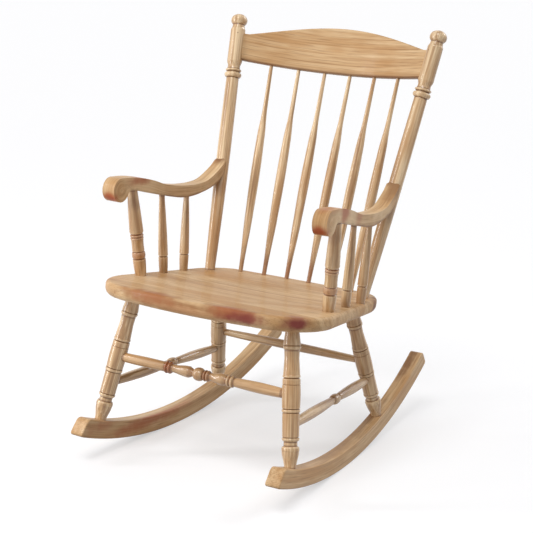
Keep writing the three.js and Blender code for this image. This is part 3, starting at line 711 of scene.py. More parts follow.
def curve_through(points):
    """A smooth curve through points, each stretch of it in the same number of steps."""
    ends = [points[0], *points, points[-1]]
    curve = []
    for i in range(len(points) - 1):
        a, b, c, d = (Vector(p) for p in ends[i:i + 4])
        for step in range(CURVE_STEPS):
            u = step / CURVE_STEPS
            pull = (c - a) * (u ** 3 - 2 * u ** 2 + u) / 2 + (d - b) * (u ** 3 - u ** 2) / 2
            curve.append(b * (2 * u ** 3 - 3 * u ** 2 + 1) + c * (3 * u ** 2 - 2 * u ** 3) + pull)
    return curve + [Vector(points[-1])]


def drawn_curve(points, steps):
    """A curve from the first point to the last that is drawn towards those between."""
    curve = []
    for step in range(steps + 1):
        row = points
        while len(row) > 1:
            row = [a.lerp(b, step / steps) for a, b in zip(row, row[1:])]
        curve.append(row[0])
    return curve


def soften(outline, corners, reach):
    """Replaces sharp corners of a closed outline by short curves."""
    soft = []
    for i, corner in enumerate(outline):
        if i not in corners:
            soft.append(corner)
            continue
        start = corner + (outline[i - 1] - corner).normalized() * reach
        end = corner + (outline[(i + 1) % len(outline)] - corner).normalized() * reach
        soft += drawn_curve((start, corner, end), CURVE_STEPS)
    return soft


# Turned pieces

Member = namedtuple("Member", "foot head profile")


def member(rows, foot, head, radius, foot_inset=0, head_inset=0):
    """A turning between two points. What is seen of it starts and ends short of them by the insets."""
    visible = (head - foot).length - foot_inset - head_inset
    profile = turned_profile(rows, visible, radius)
    return Member(foot, head, [(height + foot_inset, r, copper) for height, r, copper in profile])


def at_share(turning, part):
    """A point on a turning's axis at a share of its length."""
    return turning.foot.lerp(turning.head, part)


def radius_at(turning, part):
    """A turning's radius at a share of the way from its foot point to its head point."""
    height = part * (turning.head - turning.foot).length
    return float(np.interp(height, [p[0] for p in turning.profile], [p[1] for p in turning.profile]))


def turned_mesh(name, turning, below, above):
    """Spins a turning's profile round its axis. Its ends run on plainly into what they are glued in."""
    heights, radii, copper = zip(*turning.profile)
    points = [(0, heights[0] - below), (radii[0], heights[0] - below), *zip(radii, heights)]
    if radii[-1] > 0:
        points += [(radii[-1], heights[-1] + above), (0, heights[-1] + above)]
    bm = bmesh.new()
    verts = [bm.verts.new((r, 0, z)) for r, z in points]
    edges = [bm.edges.new(pair) for pair in zip(verts, verts[1:])]
    bmesh.ops.spin(bm, geom=verts + edges, axis=(0, 0, 1), angle=2 * math.pi, steps=TURNED_SIDES,
                   use_merge=True)
    bmesh.ops.remove_doubles(bm, verts=bm.verts, dist=MERGE)
    lay_grain(bm, name, 2)
    hollow = bm.verts.layers.float["hollow"]
    glaze = bm.verts.layers.float["copper"]
    depth = hollow_of(turning.profile)
    for vert in bm.verts:
        vert[hollow] = float(np.interp(vert.co.z, heights, depth))
        vert[glaze] = float(np.interp(vert.co.z, heights, copper))
    bm.transform(aimed(turning.foot, turning.head))
    return bm


def trim(bm, place, normal):
    """Cuts off what lies behind a plane and closes the cut."""
    geom = bm.verts[:] + bm.edges[:] + bm.faces[:]
    bmesh.ops.bisect_plane(bm, geom=geom, plane_co=place, plane_no=normal, clear_inner=True)
    bmesh.ops.holes_fill(bm, edges=[edge for edge in bm.edges if edge.is_boundary])


def finish_turning(bm, name):
    """Finishes a turning that stands for the node of its name."""
    finish_piece(bm, name + "_turned", [name], turned_ash())


def turned_piece(name, turning, below=FOOT_TENON, above=HEAD_TENON):
    """Makes a turning as a piece of its own."""
    finish_turning(turned_mesh(name, turning, below, above), name)


def legs():
    """The four legs by hand and place."""
    base = chair().base
    found = {}
    for hand, side in SIDES:
        for row, x, y, foot_y in (("front", base.front_head_x, base.front_head_y, base.front_foot_y),
                                  ("rear", base.rear_head_x, base.rear_head_y, base.rear_foot_y)):
            turning = member(LEG_ROWS, on_rocker(side, foot_y), under_seat(side * x, y), base.leg_radius)
            found[row, hand] = turning
    return found


def build_leg(name, turning):
    """A leg runs a little into its rocker, no further than the rocker's rounded edge."""
    base = chair().base
    bm = turned_mesh(name, turning, LEG_TENON, LEG_TENON)
    slope = (turning.foot.y - base.rocker_setback) / rocker_top_radius()
    normal = Vector((0, -slope, 1)).normalized()
    trim(bm, turning.foot - normal * LEG_SINK_SHARE * base.rocker_edge_round, normal)
    finish_turning(bm, name)


def bar(rows, radius, start, start_share, end, end_share):
    """A stretcher between the surfaces of two legs."""
    return member(rows, at_share(start, start_share), at_share(end, end_share), radius,
                  radius_at(start, start_share), radius_at(end, end_share))


# Sawn pieces

def corner_curve(start, corner, end, steps):
    """A quarter turn, without its first point."""
    pulled = [point.lerp(corner, CORNER_PULL_SHARE) for point in (start, end)]
    return drawn_curve((start, *pulled, end), steps)[1:]


def bow(start, end, peak):
    """Half of a bowed edge, without its first point."""
    middle = Vector(((start.x + end.x) / 2, peak))
    return drawn_curve((start, middle, end), SEAT_EDGE_STEPS)[1:]


def seat_outline():
    """The seat's outline seen from above, from the middle of its front edge round to the right."""
    seat = chair().seat
    front = Vector((seat.front_half_width - seat.front_corner_width, seat.front_bow - seat.front_reach))
    front_side = Vector((seat.front_half_width, front.y + seat.front_corner_depth))
    rear = Vector((seat.rear_half_width - seat.rear_corner_width, seat.rear_reach - seat.rear_bow))
    rear_side = Vector((seat.rear_half_width, rear.y - seat.rear_corner_depth))
    taper = (rear_side.x - front_side.x) / (rear_side.y - front_side.y)
    front_corner = Vector((front_side.x + taper * (front.y - front_side.y), front.y))
    rear_corner = Vector((front_side.x + taper * (rear.y - front_side.y), rear.y))
    start, end = Vector((0, -seat.front_reach)), Vector((0, seat.rear_reach))
    right = [start,
             *bow(start, front, start.y),
             *corner_curve(front, front_corner, front_side, FRONT_CORNER_STEPS),
             *drawn_curve((front_side, rear_side), SEAT_EDGE_STEPS)[1:],
             *corner_curve(rear_side, rear_corner, rear, REAR_CORNER_STEPS),
             *bow(rear, end, end.y)]
    return right + [Vector((-p.x, p.y)) for p in right[-2:0:-1]]


def hollow_seat(bm):
    """Presses the shallow hollow for the sitter into the upper face."""
    seat = chair().seat
    for vert in bm.verts:
        if vert.co.z > -ON_PLANE:
            across = vert.co.x / seat.dish_half_width
            along = (vert.co.y - seat.dish_setback) / seat.dish_half_depth
            far = min(across ** 2 + along ** 2, DISH_FADE) / DISH_FADE
            vert.co.z -= seat.dish_drop * DISH_DEPTH_SHARE * (1 - far) ** 2 * (1 + 2 * far)


def build_seat():
    """The plank, rounded, hollowed and tilted back."""
    seat = chair().seat
    outline = seat_outline()
    bm = slab([(p.x, p.y, 0) for p in outline], (0, 0, -seat.thickness))
    bevel(bm, edges_where(bm, lambda z: z > -ON_PLANE), seat.top_round, segments=6)
    bevel(bm, edges_where(bm, lambda z: z < ON_PLANE - seat.thickness), seat.under_round, segments=7)
    side = seat.front_half_width - seat.top_round
    slice_across(bm, 0, places_between(-side, side, SEAT_SLICE))
    slice_across(bm, 1, places_between(-seat.front_reach, seat.rear_reach, SEAT_SLICE))
    hollow_seat(bm)
    lay_grain(bm, "seat", 0)
    turn = Matrix.Rotation(-math.atan(seat.fall), 4, "X")
    bm.transform(Matrix.Translation((0, 0, seat.height)) @ turn)
    finish_board(bm, "seat", "plank", seat_ash())


def rocker_under():
    """The curve that a rocker rolls on, from its front tip to its rear tip."""
    base = chair().base
    radius = base.rocker_radius
    span = base.rocker_front + base.rocker_rear
    reaches = [span * i / ROCKER_STEPS - base.rocker_front for i in range(ROCKER_STEPS + 1)]
    return [Vector((reach, radius - math.sqrt(radius ** 2 - reach ** 2))) for reach in reaches]


def rocker_outline():
    """A rocker's side view, as distances behind and above where it stands."""
    base = chair().base
    start = base.rocker_rear - base.rocker_slant
    span = start + base.rocker_front - base.rocker_slant
    over = [start - span * i / ROCKER_STEPS for i in range(ROCKER_STEPS + 1)]
    outline = rocker_under() + [Vector((reach, rocker_top(reach))) for reach in over]
    ends = (0, ROCKER_STEPS, ROCKER_STEPS + 1, 2 * ROCKER_STEPS + 1)
    return soften(outline, ends, base.rocker_end_round)


def build_rocker(hand, side):
    """A rocker, sawn and set so that it closes in towards the rear."""
    base = chair().base
    bm = sawn(rocker_outline(), base.rocker_thickness, base.rocker_edge_round, segments=4)
    slice_across(bm, 1, places_between(-base.rocker_front, base.rocker_rear, ROCKER_SLICE))
    lay_grain_along(bm, "rocker_" + hand, rocker_under())
    darken_lower_edge(bm, rocker_under(), base.rocker_edge_round)
    turn = Matrix.Rotation(side * math.atan(base.rocker_converge), 4, "Z")
    place = Matrix.Translation((side * base.rocker_half_spacing, base.rocker_setback, 0))
    bm.transform(place @ turn)
    finish_board(bm, "rocker_" + hand, "board", board_ash())


def crest_half_span():
    """Half the distance between the posts' axes at the rail's height."""
    back = chair().back
    splay = back.splay / math.hypot(1, back.rake)
    return back.post_x + splay * (back.crest_rise + back.crest_end_height / 2)


def crest_radius():
    """The radius of the rail's bend."""
    bow_depth = chair().back.crest_bow
    return (crest_half_span() ** 2 + bow_depth ** 2) / (2 * bow_depth)


def crest_height(x):
    """The rail's height, an arch between plain ends."""
    back = chair().back
    part = min(abs(x) / (crest_half_span() - back.crest_shoulder), 1)
    arch = max(math.cos(part * math.pi / 2), 0)
    return back.crest_end_height + (back.crest_middle_height - back.crest_end_height) * arch


def crest_setback(x):
    """How far behind the posts the middle of the rail lies."""
    radius = crest_radius()
    return chair().back.crest_bow - radius + math.sqrt(radius ** 2 - x ** 2)


def bend_crest(bm):
    """Bends the flat board round an upright axis in front of it."""
    radius = crest_radius()
    for vert in bm.verts:
        angle = vert.co.x / radius
        out = radius + vert.co.y
        vert.co.x = out * math.sin(angle)
        vert.co.y = chair().back.crest_bow - radius + out * math.cos(angle)


def build_crest():
    """The crest rail, shaped flat and then bent."""
    back = chair().back
    radius = crest_radius()
    reach = radius * math.asin(crest_half_span() / radius)
    places = [reach * (i / CREST_HALF_STEPS - 1) for i in range(2 * CREST_HALF_STEPS + 1)]
    half = back.crest_thickness / 2
    outline = [(x, -half, 0) for x in places]
    outline += [(x, -half, crest_height(radius * math.sin(x / radius))) for x in reversed(places)]
    bm = slab(outline, (0, 2 * half, 0))
    bevel(bm, rims(bm, len(outline)), back.crest_round, segments=5)
    slice_across(bm, 0, places[1:-1])
    # The heights over the lower edge that carry painted shade, with some polish.
    polished = [part * back.crest_round for part in CREST_DARK_EDGE_SHARES]
    slice_across(bm, 2, polished)
    lay_grain(bm, "crest_rail", 0)
    darken_lower_edge(bm, ((-half, 0), (half, 0)), polished[-1])
    bend_crest(bm)
    bm.transform(Matrix.Translation(on_back(0, 0, back.crest_rise)) @ lean())
    finish_board(bm, "crest_rail", "board", board_ash())


def arm_points(table):
    """The points of a table of an arm's shares, from its joint."""
    arms = chair().arms
    return [(-forward * arms.reach, up * arms.rise) for forward, up in table]


def arm_end(part):
    """The arm's end follows the lean of its post."""
    arms = chair().arms
    up = part * arms.rise
    return (chair().back.rake * up - arms.end_setback, up)


def scroll_points():
    """The round of the scroll, from its top forwards and down to the arm's underside."""
    arms = chair().arms
    centre = Vector((arms.scroll_radius - arms.reach, -arms.scroll_drop))
    spoke = Vector((arms.scroll_radius, 0))
    whole = 2 * math.pi * SCROLL_TURN_SHARE
    turns = (math.pi / 2 + whole * i / SCROLL_STEPS for i in range(SCROLL_STEPS + 1))
    return [centre + Matrix.Rotation(angle, 2) @ spoke for angle in turns]


def arm_underside():
    """The arm's lower edge, from the scroll to its post."""
    return curve_through([*arm_points(ARM_UNDER), arm_end(ARM_END_FOOT)])


def arm_top():
    """The arm's upper edge, from its post to the scroll."""
    return curve_through([arm_end(ARM_END_TOP), *arm_points(ARM_TOP), scroll_points()[0]])


def arm_outline():
    """An arm's side view, from its joint over the top to the scroll and back underneath."""
    top = arm_top()
    under = arm_underside()
    outline = [top[0], *top[TOP_SKIPPED:-1], *scroll_points(), *under[:-UNDER_SKIPPED], under[-1]]
    return soften(outline, (0, len(outline) - 1), chair().arms.end_round)


def post_turning(side):
    """A back post, from the seat to the top of its ball."""
    back = chair().back
    foot = on_seat(side * back.post_x, back.post_y)
    way = Vector((side * back.splay, back.rake, 1)).normalized()
    return member(POST_ROWS, foot, foot + way * back.post_length, back.post_radius)


def arm_joint(side):
    """The joint's centre, on the axis of the back post."""
    post = post_turning(side)
    top = chair().seat.height + chair().arms.joint_height
    return at_share(post, (top - post.foot.z) / (post.head.z - post.foot.z))


def dome_end(bm):
    """Rounds an arm's top across its width where it meets its post."""
    arms = chair().arms
    for vert in bm.verts:
        near = max(0, 1 + vert.co.y / (arms.joint_height * DOME_REACH_SHARE))
        high = max(0, vert.co.z / arms.rise + DOME_START_SHARE)
        vert.co.z -= arms.end_dome * min(near, 1) * min(high, 1) * (2 * vert.co.x / arms.width) ** 2


def build_arm(hand, side):
    """An arm, sawn, rounded and set so that it spreads towards the front."""
    arms = chair().arms
    bm = sawn(arm_outline(), arms.width, arms.edge_round, segments=6)
    lowest = min(up for _, up in ARM_UNDER) * arms.rise
    slice_across(bm, 1, places_between(-arms.reach, 0, ARM_SLICE))
    slice_across(bm, 2, places_between(lowest, ARM_END_TOP * arms.rise, ARM_LEVEL_SLICE))
    slice_across(bm, 0, [part * arms.width for part in ARM_WIDTH_SHARES])
    dome_end(bm)
    lay_grain_along(bm, "arm_" + hand, [*arm_top()[:-1], *scroll_points()])
    darken_lower_edge(bm, arm_underside(), arms.edge_round)
    turn = Matrix.Rotation(side * math.atan(arms.splay), 4, "Z")
    bm.transform(Matrix.Translation(arm_joint(side)) @ turn)
    finish_board(bm, "arm_" + hand, "board", board_ash())


def arm_support(side, rows, radius, foot_x, foot_y, top_y, top_out=0):
    """A turning from the seat up to the underside of the arm."""
    arms = chair().arms
    joint = arm_joint(side)
    forward = joint.y - top_y
    curve = arm_underside()
    along = -forward * math.hypot(1, arms.splay)
    up = float(np.interp(along, [p.x for p in curve], [p.y for p in curve]))
    head = Vector((joint.x + side * (arms.splay * forward + top_out), top_y, joint.z + up))
    return member(rows, on_seat(side * foot_x, foot_y), head, radius)


def back_spindle(index):
    """A spindle from the seat up into the crest rail, counted from the left."""
    back = chair().back
    outermost = (BACK_SPINDLES - 1) / 2
    place = index - outermost
    foot_y = back.spindle_foot_y - back.spindle_foot_bow * (place / outermost) ** 2
    x = place * back.spindle_top_pitch
    head = on_back(x, crest_setback(x), back.crest_rise)
    return member(BACK_SPINDLE_ROWS, on_seat(place * back.spindle_foot_pitch, foot_y), head,
                  back.spindle_radius)


def build_pin(hand, side):
    """A domed peg across the crest rail's tenon, on the front of a post."""
    post = post_turning(side)
    axis = (post.head - post.foot).normalized()
    front = Vector((-side * math.sin(PIN_TURN), -math.cos(PIN_TURN), 0))
    front = (front - axis * front.dot(axis)).normalized()
    bm = bmesh.new()
    bmesh.ops.create_circle(bm, cap_ends=True, radius=PIN_RADIUS, segments=PIN_SIDES)
    thicken(bm, (0, 0, PIN_LENGTH))
    bevel(bm, edges_where(bm, lambda z: z > PIN_LENGTH - PIN_ROUND), PIN_ROUND, segments=4)
    lay_grain(bm, "crest_pin_" + hand, 2)
    hollow = bm.verts.layers.float["hollow"]
    for vert in bm.verts:
        vert[hollow] = DARK_MARK_DEPTH
    start = at_share(post, PIN_SHARE) + front * (radius_at(post, PIN_SHARE) - PIN_DEPTH)
    bm.transform(aimed(start, start + front))
    finish_piece(bm, "crest_pin_" + hand, [], turned_ash())


# Materials

def node(tree, kind, output=None, inputs=None, **settings):
    """Adds a shader node with its settings and its inputs' values or links, for one of its outputs."""
    made = tree.nodes.new("ShaderNode" + kind)
    for name, value in settings.items():
        setattr(made, name, value)
    for name, value in (inputs or {}).items():
        if isinstance(value, bpy.types.NodeSocket):
            tree.links.new(value, made.inputs[name])
        else:
            made.inputs[name].default_value = value
    return made.outputs[output] if output is not None else made


def bare_tree(owner):
    """Gives a material or a world an empty node tree."""
    owner.use_nodes = True
    owner.node_tree.nodes.clear()
    return owner.node_tree


# The numbers of a colour Mix node's sockets.
MIX_A, MIX_B, MIX_RESULT = 6, 7, 2

# The width of one ring of a Wave texture at a scale of 1.
WAVE_WIDTH = 0.314

# The width of a spot's ragged patches in millimetres, how far they reach past its outline and, in its
# radii, where it starts to show and where it has its full strength. A spot is a stain, painted shade or
# painted light.
PATCH_WIDTH = 26
RAGGEDNESS = 0.8
SPOT_START = 1.4
SPOT_FULL = 0.6


def streaks(tree, grain, width, squeeze, detail):
    """A wandering pattern of a width in millimetres, drawn out along the grain."""
    drawn = node(tree, "Mapping", "Vector", {"Vector": grain, "Scale": (1, 1, squeeze)})
    return node(tree, "TexNoise", "Fac", {"Vector": drawn, "Scale": 1 / (width * MM), "Detail": detail,
                                          "Roughness": 0.55})


def washed(tree, base, colour, pattern, start, full, strength):
    """Lays a colour over the wood, from nothing where a pattern starts to a strength where it is full."""
    amount = node(tree, "MapRange", "Result",
                  {"Value": pattern, "From Min": start, "From Max": full, "To Max": strength},
                  interpolation_type="SMOOTHSTEP")
    return node(tree, "Mix", MIX_RESULT, {0: amount, MIX_A: base, MIX_B: colour}, data_type="RGBA")


def stained(tree, base, spots):
    """Lays patchy stains, painted shade and painted light over the wood: (middle, radii) in millimetres,
    colour and strength of each.
    """
    place = node(tree, "TexCoord", "Object")
    patches = node(tree, "TexNoise", "Fac", {"Vector": place, "Scale": 1 / (PATCH_WIDTH * MM), "Detail": 3})
    for middle, radii, colour, strength in spots:
        size = [1 / (radius * MM) for radius in radii]
        start = Vector(middle) * MM + SHIFT
        moved = node(tree, "Mapping", "Vector",
                     {"Vector": place, "Scale": size, "Location": [-s * at for s, at in zip(size, start)]})
        away = node(tree, "VectorMath", "Value", {0: moved}, operation="LENGTH")
        ragged = node(tree, "Math", 0, {0: patches, 1: RAGGEDNESS, 2: away}, operation="MULTIPLY_ADD")
        base = washed(tree, base, getattr(chair().wood, colour), ragged, SPOT_START, SPOT_FULL, strength)
    return base


def lacquered_ash(name, years, pith, contrast, roughness, specular, coat, spots):
    """Ash, sawn or turned, sanded, stained a warm tan and lacquered.

    Ash has open pores along each year's early growth, so its face shows dark broken lines that run with
    the grain: straight on quartered faces, in long arches on flat ones. The lacquer fills them and adds
    a clear satin coat. A year is 2 to 4 mm wide and a pore 0.3 mm. Both are drawn wider, so that they
    show: years as wide as is given here, with softer bands 1.6 years wide, and pores 2.1 mm.
    """
    if name in bpy.data.materials:
        return bpy.data.materials[name]
    material = bpy.data.materials.new(name)
    tree = bare_tree(material)
    wood = chair().wood
    grain = node(tree, "Attribute", "Vector", attribute_name="grain")
    hollow = node(tree, "Attribute", "Fac", attribute_name="hollow")
    copper = node(tree, "Attribute", "Fac", attribute_name="copper")

    # A year's ring is a cylinder round the pith. The grain drifts slowly, so its length is compressed.
    from_pith = node(tree, "Mapping", "Vector", {"Vector": grain, "Location": [side * MM for side in pith],
                                                 "Scale": (1, 1, 0.05)})
    ring_scale = WAVE_WIDTH / (years * MM)
    rings = node(tree, "TexWave", "Fac",
                 {"Vector": from_pith, "Scale": ring_scale, "Distortion": 2.2, "Detail": 2,
                  "Detail Scale": 8 / ring_scale, "Detail Roughness": 0.4},
                 wave_type="RINGS", rings_direction="Z", wave_profile="SAW")
    bands = streaks(tree, grain, 1.6 * years, 0.03, 3)
    pores = streaks(tree, grain, 2.1, 0.03, 2)
    drift = streaks(tree, grain, 70, 0.3, 3)
    early = node(tree, "Math", 0, {0: rings, 1: pores}, operation="MULTIPLY")
    glazed = node(tree, "Math", 0, {0: copper, 1: bands, 2: copper}, operation="MULTIPLY_ADD")

    # Each wash: its colour, the pattern it follows, where that starts and is full, and its strength. What
    # stands higher than its surroundings is worn pale, and what lies deeper holds polish. Joints and lower
    # edges are marked as deeper, so there the dark wash is painted shade.
    washes = (
        (wood.light, bands, 0.42, 0.66, contrast),
        (wood.shade, bands, 0.5, 0.3, 0.8 * contrast),
        (wood.warm, drift, 0.44, 0.66, 0.65),
        (wood.line, early, 0.3, 0.62, 0.5),
        (wood.line, pores, 0.52, 0.7, 0.6 - 0.3 * contrast),
        (wood.light, hollow, -0.1 * MM, -0.7 * MM, 0.35),
        (wood.groove_and_shade, hollow, 0.12 * MM, 0.7 * MM, 0.62),
        (wood.copper, glazed, 0.1, 1.6, 1),
    )
    base = wood.tan
    for wash in washes:
        base = washed(tree, base, *wash)
    base = stained(tree, base, spots)

    dull = node(tree, "MapRange", "Result", {"Value": bands, "From Min": 0.25, "From Max": 0.75,
                                             "To Min": roughness - 0.05, "To Max": roughness + 0.06})
    bump = node(tree, "Bump", "Normal", {"Strength": 0.2, "Distance": 0.15 * MM, "Height": early},
                invert=True)
    shader = node(tree, "BsdfPrincipled", "BSDF", {
        "Base Color": base, "Roughness": dull, "Normal": bump, "IOR": 1.5, "Specular IOR Level": specular,
        "Coat Weight": coat, "Coat Roughness": 0.1})
    node(tree, "OutputMaterial", None, {"Surface": shader})
    return material


# Stains, worn places, painted shade and painted light: middle and radii in millimetres in the chair's own
# frame, colour and strength.

def on_both_sides(middle, *rest):
    """A spot and its mirror image."""
    x, y, z = middle
    return ((-x, y, z), *rest), (middle, *rest)


# Painted shadow under the ends of the arms, painted shade at the feet of the back and of the arm supports,
# and darker stretchers.
TURNED_SPOTS = (
    # Painted shadow of the arms' ends, on the back posts and on the arm posts' necks.
    *on_both_sides((236, 318, 590), (30, 26, 44), "groove_and_shade", 0.5),
    *on_both_sides((262, -28, 588), (30, 26, 26), "groove_and_shade", 0.4),
    # Painted shade at the feet of the back, in a copper tone.
    ((0, 330, 395), (260, 50, 80), "shade", 0.85),
    ((0, 330, 390), (260, 50, 50), "copper", 0.35),
    ((-20, -116, 243), (220, 40, 40), "shade", 0.55),
    ((0, 315, 225), (220, 40, 40), "shade", 0.6),
    ((222, 105, 185), (34, 270, 60), "shade", 0.7),
    # Painted shade at the feet of the arm supports.
    *on_both_sides((248, 95, 400), (40, 150, 45), "shade", 0.7),
)


def turned_ash():
    """Turned members were polished on the lathe, so their lacquer is glossier and their streaks show."""
    return lacquered_ash("lacquered_ash_turned", years=5, pith=(38, 22, 0), contrast=0.95, roughness=0.38,
                         specular=0.35, coat=0.5, spots=TURNED_SPOTS)


# The arms' sides towards the chair's right carry painted light, their scrolls and tops are stained red, and
# where they meet the posts they carry painted shade.
ARM_SPOTS = (
    # Painted light on the arms' sides towards the chair's right.
    ((-231, 230, 640), (12, 150, 70), "light", 0.5),
    ((-245, 0, 630), (12, 150, 60), "light", 0.5),
    ((266, 230, 640), (12, 150, 70), "light", 0.6),
    ((280, 0, 630), (12, 150, 60), "light", 0.6),
    ((-266, -114, 606), (34, 24, 22), "rust", 0.95),
    ((-254, -14, 643), (22, 66, 17), "rust", 0.8),
    ((268, -114, 606), (34, 24, 24), "rust", 0.95),
    ((268, -70, 654), (30, 60, 12), "rust", 0.4),
    ((281, -13, 642), (24, 36, 42), "rust", 0.75),
    ((275, 75, 620), (22, 30, 34), "rust", 0.45),
    # Painted shade where the arms meet the posts.
    *on_both_sides((240, 336, 664), (30, 34, 30), "groove_and_shade", 0.75),
    ((250, 305, 648), (24, 90, 50), "shade", 0.9),
)

# The left rocker is stained red in front and carries painted light along its top, and the right one is dark
# towards its rear end.
ROCKER_SPOTS = (
    ((-225, -172, 80), (24, 105, 26), "rust", 0.55),
    ((-228, 40, 42), (24, 260, 24), "rust", 0.6),
    ((214, 615, 145), (20, 130, 90), "groove_and_shade", 0.75),
    ((226, 330, 60), (16, 220, 34), "groove_and_shade", 0.5),
    # Painted light along the left rocker's top.
    ((-247, 60, 60), (16, 320, 60), "light", 0.6),
    ((228, 60, 45), (30, 300, 50), "shade", 0.5),
)


def board_ash():
    """Arms, rockers and the crest rail were sawn and sanded, with the same lacquer rubbed duller."""
    return lacquered_ash("lacquered_ash_sawn", years=5, pith=(70, 45, 0), contrast=0.38, roughness=0.45,
                         specular=0.15, coat=0.06, spots=ARM_SPOTS + ROCKER_SPOTS)


# The plank's front edge keeps dark red stain, and its rear corner on the right carries painted shade.
SEAT_SPOTS = (
    ((0, 60, 400), (330, 330, 80), "shade", 0.15),
    ((-170, 230, 395), (120, 130, 40), "warm", 0.6),
    ((-100, -192, 422), (150, 50, 28), "shade", 0.8),
    ((-106, -192, 424), (110, 44, 20), "copper", 0.52),
    ((-262, -110, 405), (60, 70, 30), "copper", 0.35),
    ((-10, -199, 408), (220, 40, 20), "copper", 0.35),
    ((110, -196, 424), (110, 50, 28), "shade", 0.8),
    ((116, -196, 422), (80, 44, 22), "rust", 0.6),
    ((140, -196, 412), (70, 40, 20), "blush", 0.85),
    ((243, -144, 411), (44, 44, 22), "blush", 0.95),
    # Painted shade at the plank's rear corner on the right.
    ((250, 266, 370), (16, 34, 36), "groove_and_shade", 0.9),
    ((236, 292, 376), (14, 24, 26), "groove_and_shade", 0.9),
)


def seat_ash():
    """The plank is cut flat, so its years look wide, and it is worn to a low sheen."""
    return lacquered_ash("lacquered_ash_plank", years=16, pith=(0, 160, 0), contrast=0.38, roughness=0.5,
                         specular=0.12, coat=0.05, spots=SEAT_SPOTS)


# Stage

WHITE = (1, 1, 1, 1)

# Where each light stands: degrees round to the right of the camera, and degrees up.
KEY_PLACE = (-28, 56)
REAR_PLACE = (122, 34)
STRIP_PLACE = (-80, 14)

# In metres: the softbox, the distance of the lights, half the floor's width, and how far the camera sees.
STRIP_WIDTH = 0.3
STRIP_HEIGHT = 2
STRIP_DISTANCE = 2.4
SUN_DISTANCE = 4
FLOOR_HALF_WIDTH = 60
VIEW_DEPTH = 200

# The width in millimetres of the sensor that the lens belongs to.
SENSOR_WIDTH = 36


def seen_directly(tree):
    """1 for what the camera, a gloss or a glass sees directly, and 0 for what lights the chair."""
    path = node(tree, "LightPath")
    seen = path.outputs["Is Camera Ray"]
    for name in ("Is Glossy Ray", "Is Transmission Ray"):
        seen = node(tree, "Math", 0, {0: seen, 1: path.outputs[name]}, operation="MAXIMUM")
    return seen


def build_world():
    """Even light from all round, with a white background behind it."""
    world = bpy.data.worlds.new("Studio")
    bpy.context.scene.world = world
    tree = bare_tree(world)
    sky = node(tree, "Background", 0, {"Color": WHITE, "Strength": chair().stage.sky})
    white = node(tree, "Background", 0, {"Color": WHITE, "Strength": 1})
    studio = node(tree, "MixShader", 0, {0: seen_directly(tree), 1: sky, 2: white})
    node(tree, "OutputWorld", None, {"Surface": studio})


def floor_paint():
    """Matt pale paint on a studio floor. It looks even and white, and keeps the chair's soft shadow."""
    material = bpy.data.materials.new("matt_white_paint")
    tree = bare_tree(material)
    stage = chair().stage
    paint = node(tree, "BsdfDiffuse", 0, {"Color": stage.floor})
    lift = node(tree, "Math", 0, {0: seen_directly(tree), 1: stage.floor_lift}, operation="MULTIPLY")
    glow = node(tree, "Emission", 0, {"Color": WHITE, "Strength": lift})
    total = node(tree, "AddShader", 0, {0: paint, 1: glow})
    node(tree, "OutputMaterial", None, {"Surface": total})
    return material


def build_floor():
    """The studio's floor."""
    bm = bmesh.new()
    bmesh.ops.create_grid(bm, x_segments=1, y_segments=1, size=FLOOR_HALF_WIDTH)
    mesh = bpy.data.meshes.new("floor")
    bm.to_mesh(mesh)
    bm.free()
    mesh.materials.append(floor_paint())
    floor = new_object("floor", mesh)


def direction(azimuth, elevation):
    """From the chair to what stands an angle round to the right of its front, and an angle up."""
    return Vector((math.sin(azimuth) * math.cos(elevation), -math.cos(azimuth) * math.cos(elevation),
                   math.sin(elevation)))


def set_round_chair(name, data, way, distance, turn):
    """Puts a lamp or the camera a distance away from the point that the camera looks at."""
    place = Vector(chair().stage.aim) + SHIFT + way * distance
    made = new_object(name, data)
    made.matrix_world = Matrix.Translation(place) @ turn.to_matrix().to_4x4()
    return made


def place_lamp(name, data, place, distance):
    """Aims a lamp at the chair from its place beside the camera."""
    round_to, up = (math.radians(value) for value in place)
    way = direction(chair().stage.azimuth + round_to, up)
    set_round_chair(name, data, way, distance, way.to_track_quat("Z", "Y"))


def soft_sun(name, strength, place):
    """A distant soft light, which falls evenly on the whole floor."""
    data = bpy.data.lights.new(name, "SUN")
    data.energy = strength
    data.angle = chair().stage.softness
    place_lamp(name, data, place, SUN_DISTANCE)


def build_lights():
    """Soft light from the front and from behind on the right, and a tall softbox on the left."""
    stage = chair().stage
    soft_sun("key", stage.key, KEY_PLACE)
    soft_sun("rear", stage.rear, REAR_PLACE)
    strip = bpy.data.lights.new("strip", "AREA")
    strip.shape = "RECTANGLE"
    strip.size = STRIP_WIDTH
    strip.size_y = STRIP_HEIGHT
    strip.energy = stage.left_strip
    place_lamp("strip", strip, STRIP_PLACE, STRIP_DISTANCE)


def build_camera():
    """The camera looks as the photograph does."""
    stage = chair().stage
    back = direction(stage.azimuth, stage.elevation)
    right = Vector((math.cos(stage.azimuth), math.sin(stage.azimuth), 0))
    upright = Matrix((right, back.cross(right), back)).transposed()
    turn = upright @ Matrix.Rotation(stage.roll, 3, "Z")
    data = bpy.data.cameras.new("camera")
    data.lens = stage.lens
    data.sensor_width = SENSOR_WIDTH
    data.clip_end = VIEW_DEPTH
    camera = set_round_chair("camera", data, back, stage.distance, turn.to_quaternion())
    bpy.context.scene.camera = camera


# Operators

class CHAIR_OT_seat(bpy.types.Operator):
    """Make the plank seat"""

    bl_idname = "rocking_chair.seat"
    bl_label = "Seat"

    def execute(self, context):
        build_seat()
        return {"FINISHED"}


class CHAIR_OT_rockers(bpy.types.Operator):
    """Make the two sawn rockers"""

    bl_idname = "rocking_chair.rockers"
    bl_label = "Rockers"

    def execute(self, context):
        for hand, side in SIDES:
            build_rocker(hand, side)
        return {"FINISHED"}


